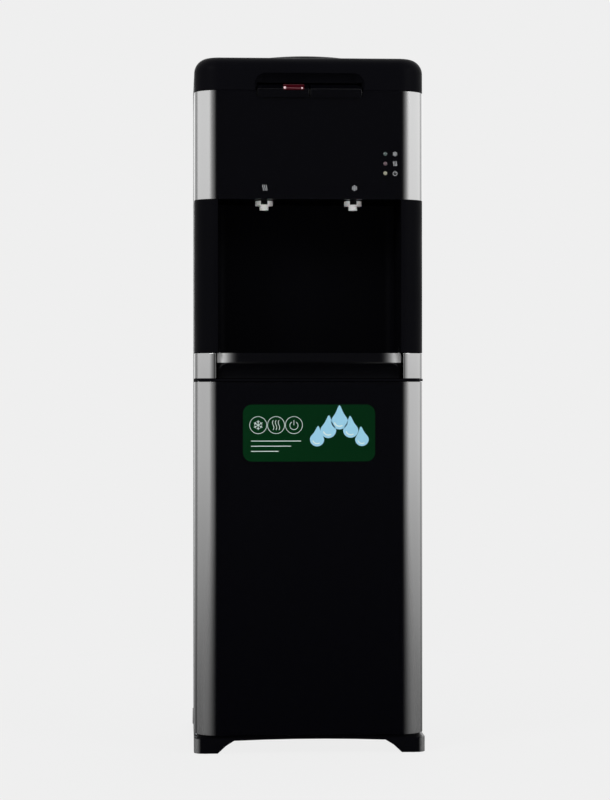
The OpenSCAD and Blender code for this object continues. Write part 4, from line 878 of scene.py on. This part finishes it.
class DISPENSER_OT_lamps(bpy.types.Operator):
    """Domed lenses over the three lamps, and the board behind them"""
    bl_idname = "dispenser.lamps"
    bl_label = "Lamps"

    def execute(self, context):
        tints = (("cooling_lamp", "lamp_green", "#485452"), ("heating_lamp", "lamp_red", "#56464C"),
                 ("power_lamp", "lamp_yellow", "#898878"))
        for node, slot, color in tints:
            # The weak glow is painted light: the lamps are not lit
            material = lamp_lens(slot + "_lens", linear(color), 0.1)
            paint(material, node)
            cx, _, cz = middle_of(node)
            self.dome(node + "_lens", cx, cz, material, slot)
        paint(board_lacquer(), "indicator_board")
        return {"FINISHED"}

    def dome(self, name, cx, cz, material, slot):
        """Shallow oval dome standing on the panel."""
        rx, rz, stands = 0.0026, 0.0019, 0.0011
        rings, sides = 6, 32
        builder = bmesh.new()
        rows = []
        for k in range(rings):
            rise = math.pi / 2 * k / rings
            out, y = math.cos(rise), FRONT_Y - stands * math.sin(rise)
            angles = [2 * math.pi * i / sides for i in range(sides)]
            rows.append([builder.verts.new((cx + rx * out * math.cos(a), y, cz + rz * out * math.sin(a)))
                         for a in angles])
        top = builder.verts.new((cx, FRONT_Y - stands, cz))
        for i in range(sides):
            j = (i + 1) % sides
            for low, high in zip(rows, rows[1:]):
                builder.faces.new((low[i], low[j], high[j], high[i]))
            builder.faces.new((rows[-1][i], rows[-1][j], top))
        builder.faces.new(rows[0][::-1])
        keep_piece(name, builder, "cabinet", material)


class DISPENSER_OT_label(bpy.types.Operator):
    """Door label with a plain printed design"""
    bl_idname = "dispenser.label"
    bl_label = "Door label"

    def execute(self, context):
        colours, sizes = context.scene.dispenser_colours, context.scene.dispenser_sizes
        paint(label_film(colours), "door_label")
        low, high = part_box("door_label")
        y, depth = low.y, sizes.print_depth
        white = ink("label_ink_white", colours.print_white)
        blue = ink("label_ink_blue", colours.print_blue)
        width, height = high.x - low.x, high.z - low.z
        mid = (low.z + high.z) / 2
        # Places and sizes are shares of the label's width and height: ringed symbols over three lines at the left,
        # and a wave of drops at the right, with a glint in each
        left, step, icons_z = low.x + width * 0.115, width * 0.135, mid + height * 0.14
        ring_r, icon_size, lines_left = height * 0.15, height * 0.17, left - step * 0.4
        builder = bmesh.new()
        for k, draw in enumerate((snowflake, heat_waves, power_mark)):
            cx = left + k * step
            stroke(builder, ring_points(cx, icons_z, ring_r), 0.0006, y, depth, closed=True)
            draw(builder, cx, icons_z, icon_size, 0.0007, y, depth)
        for k, share in enumerate((1.0, 0.8, 0.55)):
            z = mid - height * (0.14 + 0.09 * k)
            stroke(builder, [(lines_left, z), (lines_left + step * 2.8 * share, z)], 0.0009, y, depth)
        keep_piece("label_print_white", builder, "door", white, smooth=False)
        drops, glints = bmesh.new(), bmesh.new()
        for k in range(sizes.drops):
            t = k / (sizes.drops - 1)
            r = height * (0.15 - 0.055 * abs(t - 0.45))
            cx = low.x + width * (0.56 + 0.34 * t)
            cz = mid + height * (0.05 - 0.16 * math.cos(math.pi * 2 * t))
            patch(drops, drop_outline(cx, cz, r, 0.18 * (t - 0.5)), y, depth)
            stroke(glints, ring_points(cx, cz, r * 0.62, 195, 110, 14), r * 0.14, y - depth, depth)
        keep_piece("label_print_blue", drops, "door", blue, smooth=False)
        keep_piece("label_drop_glints", glints, "door", white, smooth=False)
        return {"FINISHED"}


class DISPENSER_OT_taps(bpy.types.Operator):
    """Faucets, nozzles and rods, and the other polypropylene parts"""
    bl_idname = "dispenser.taps"
    bl_label = "Taps and small mouldings"

    def execute(self, context):
        edge = context.scene.dispenser_sizes.edge
        paint(white_acetal(), "nozzles")
        ease_edges(edge, "nozzles", segments=3)
        paint(black_polypropylene(), "hot_faucet", "cold_faucet", "key_bracket", "bottle_collar", "drain_cap",
              "cord_gland", "condenser_clips", "switch_housing")
        ease_edges(edge, "bottle_collar", "drain_cap", "cord_gland", "switch_housing")
        paint(white_polypropylene(), "hot_push_rod", "cold_push_rod", "feed_probe", "cold_tank_lid",
              "drain_outlet", "door_catch")
        return {"FINISHED"}


class DISPENSER_OT_metalwork(bpy.types.Operator):
    """Plated, stainless and copper parts, and the valve springs"""
    bl_idname = "dispenser.metalwork"
    bl_label = "Metalwork"

    def execute(self, context):
        paint(zinc_plate(), "key_pivot_rod", "top_hinge", "bottom_hinge", "tank_shelf", "panel_screws")
        paint(brushed_stainless(), "cold_tank", "hot_tank")
        drawn = drawn_spring_steel()
        self.spring("hot_valve_spring", "hot_valve_open", drawn)
        self.spring("cold_valve_spring", "cold_valve_open", drawn)
        paint(drawn_copper(), "evaporator_coil", "refrigerant_pipes")
        paint(mica_band(), "heater_band")
        return {"FINISHED"}

    def spring(self, node, joint, material):
        """Coil spring with closed ends."""
        low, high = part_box(node)
        cx, cy, _ = middle_of(node)
        wire, turns, closed, steps = 0.0005, 6.5, 1.0, 28
        pitch = 2.2 * wire
        r = (high.x - low.x) / 2 - wire
        z0, z1 = low.z + wire, high.z - wire
        points = []
        for i in range(int(turns * steps) + 1):
            t = i / steps
            free = min(1.0, max(0.0, (t - closed) / (turns - 2 * closed)))
            end = pitch * (min(t, closed) + max(0.0, t - turns + closed))
            z = z0 + end + (z1 - z0 - 2 * pitch * closed) * free
            points.append(Vector((cx + r * math.cos(2 * math.pi * t), cy + r * math.sin(2 * math.pi * t), z)))
        builder = bmesh.new()
        tube(builder, points, wire)
        piece = keep_piece(node + "_coil", builder, "cabinet", material)
        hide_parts(node)
        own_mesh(piece)


class DISPENSER_OT_cabinet(bpy.types.Operator):
    """Painted panels, liners, insulation, tubes and pads"""
    bl_idname = "dispenser.cabinet"
    bl_label = "Cabinet"

    def execute(self, context):
        colours, edge = context.scene.dispenser_colours, context.scene.dispenser_sizes.edge
        panels = ("left_side_panel", "right_side_panel", "rear_panel")
        paint(powder_coat(colours), *panels, "condenser_tube", "condenser_wires")
        ease_edges(edge / 2, *panels)
        paint(formed_polystyrene(), "cabinet_liner", "door_liner")
        ease_edges(edge, "cabinet_liner", "door_liner")
        paint(bead_foam(), "cold_tank_foam")
        paint(jacket_foam(), "hot_tank_jacket")
        paint(milky_silicone(), "water_tubes")
        paint(moulded_rubber(), "foot_pads", "compressor_mounts")
        paint(stoved_enamel(), "compressor")
        return {"FINISHED"}


class DISPENSER_OT_switches(bpy.types.Operator):
    """Rocker switches at the back"""
    bl_idname = "dispenser.switches"
    bl_label = "Switches"

    def execute(self, context):
        paint(rocker_polycarbonate("red_polycarbonate", linear("#B3201F")), "heating_switch")
        paint(rocker_polycarbonate("green_polycarbonate", linear("#1F7A38")), "cooling_switch")
        ease_edges(context.scene.dispenser_sizes.edge, "heating_switch", "cooling_switch")
        return {"FINISHED"}


class DISPENSER_PT_panel(bpy.types.Panel):
    """Pieces and settings of the dispenser"""
    bl_label = "Water dispenser"
    bl_idname = "DISPENSER_PT_panel"
    bl_space_type = "VIEW_3D"
    bl_region_type = "UI"
    bl_category = "Dispenser"

    def draw(self, context):
        scene = context.scene
        for group in (scene.dispenser_colours, scene.dispenser_sizes):
            box = self.layout.box()
            for name in group.__annotations__:
                box.prop(group, name)
        for operator in OPERATORS:
            self.layout.operator(operator.bl_idname)


OPERATORS = (DISPENSER_OT_stage, DISPENSER_OT_front_shell, DISPENSER_OT_dark_mouldings, DISPENSER_OT_keys,
             DISPENSER_OT_symbols, DISPENSER_OT_lamps, DISPENSER_OT_label, DISPENSER_OT_taps,
             DISPENSER_OT_metalwork, DISPENSER_OT_cabinet, DISPENSER_OT_switches)
CLASSES = (DispenserColours, DispenserSizes, *OPERATORS, DISPENSER_PT_panel)


def register():
    for cls in CLASSES:
        bpy.utils.register_class(cls)
    bpy.types.Scene.dispenser_colours = PointerProperty(type=DispenserColours)
    bpy.types.Scene.dispenser_sizes = PointerProperty(type=DispenserSizes)


def unregister():
    del bpy.types.Scene.dispenser_sizes
    del bpy.types.Scene.dispenser_colours
    for cls in reversed(CLASSES):
        bpy.utils.unregister_class(cls)


def main():
    register()
    bpy.ops.dispenser.stage()
    bpy.ops.dispenser.front_shell()
    bpy.ops.dispenser.dark_mouldings()
    bpy.ops.dispenser.keys()
    bpy.ops.dispenser.symbols()
    bpy.ops.dispenser.lamps()
    bpy.ops.dispenser.label()
    bpy.ops.dispenser.taps()
    bpy.ops.dispenser.metalwork()
    bpy.ops.dispenser.cabinet()
    bpy.ops.dispenser.switches()


if __name__ == "__main__":
    main()
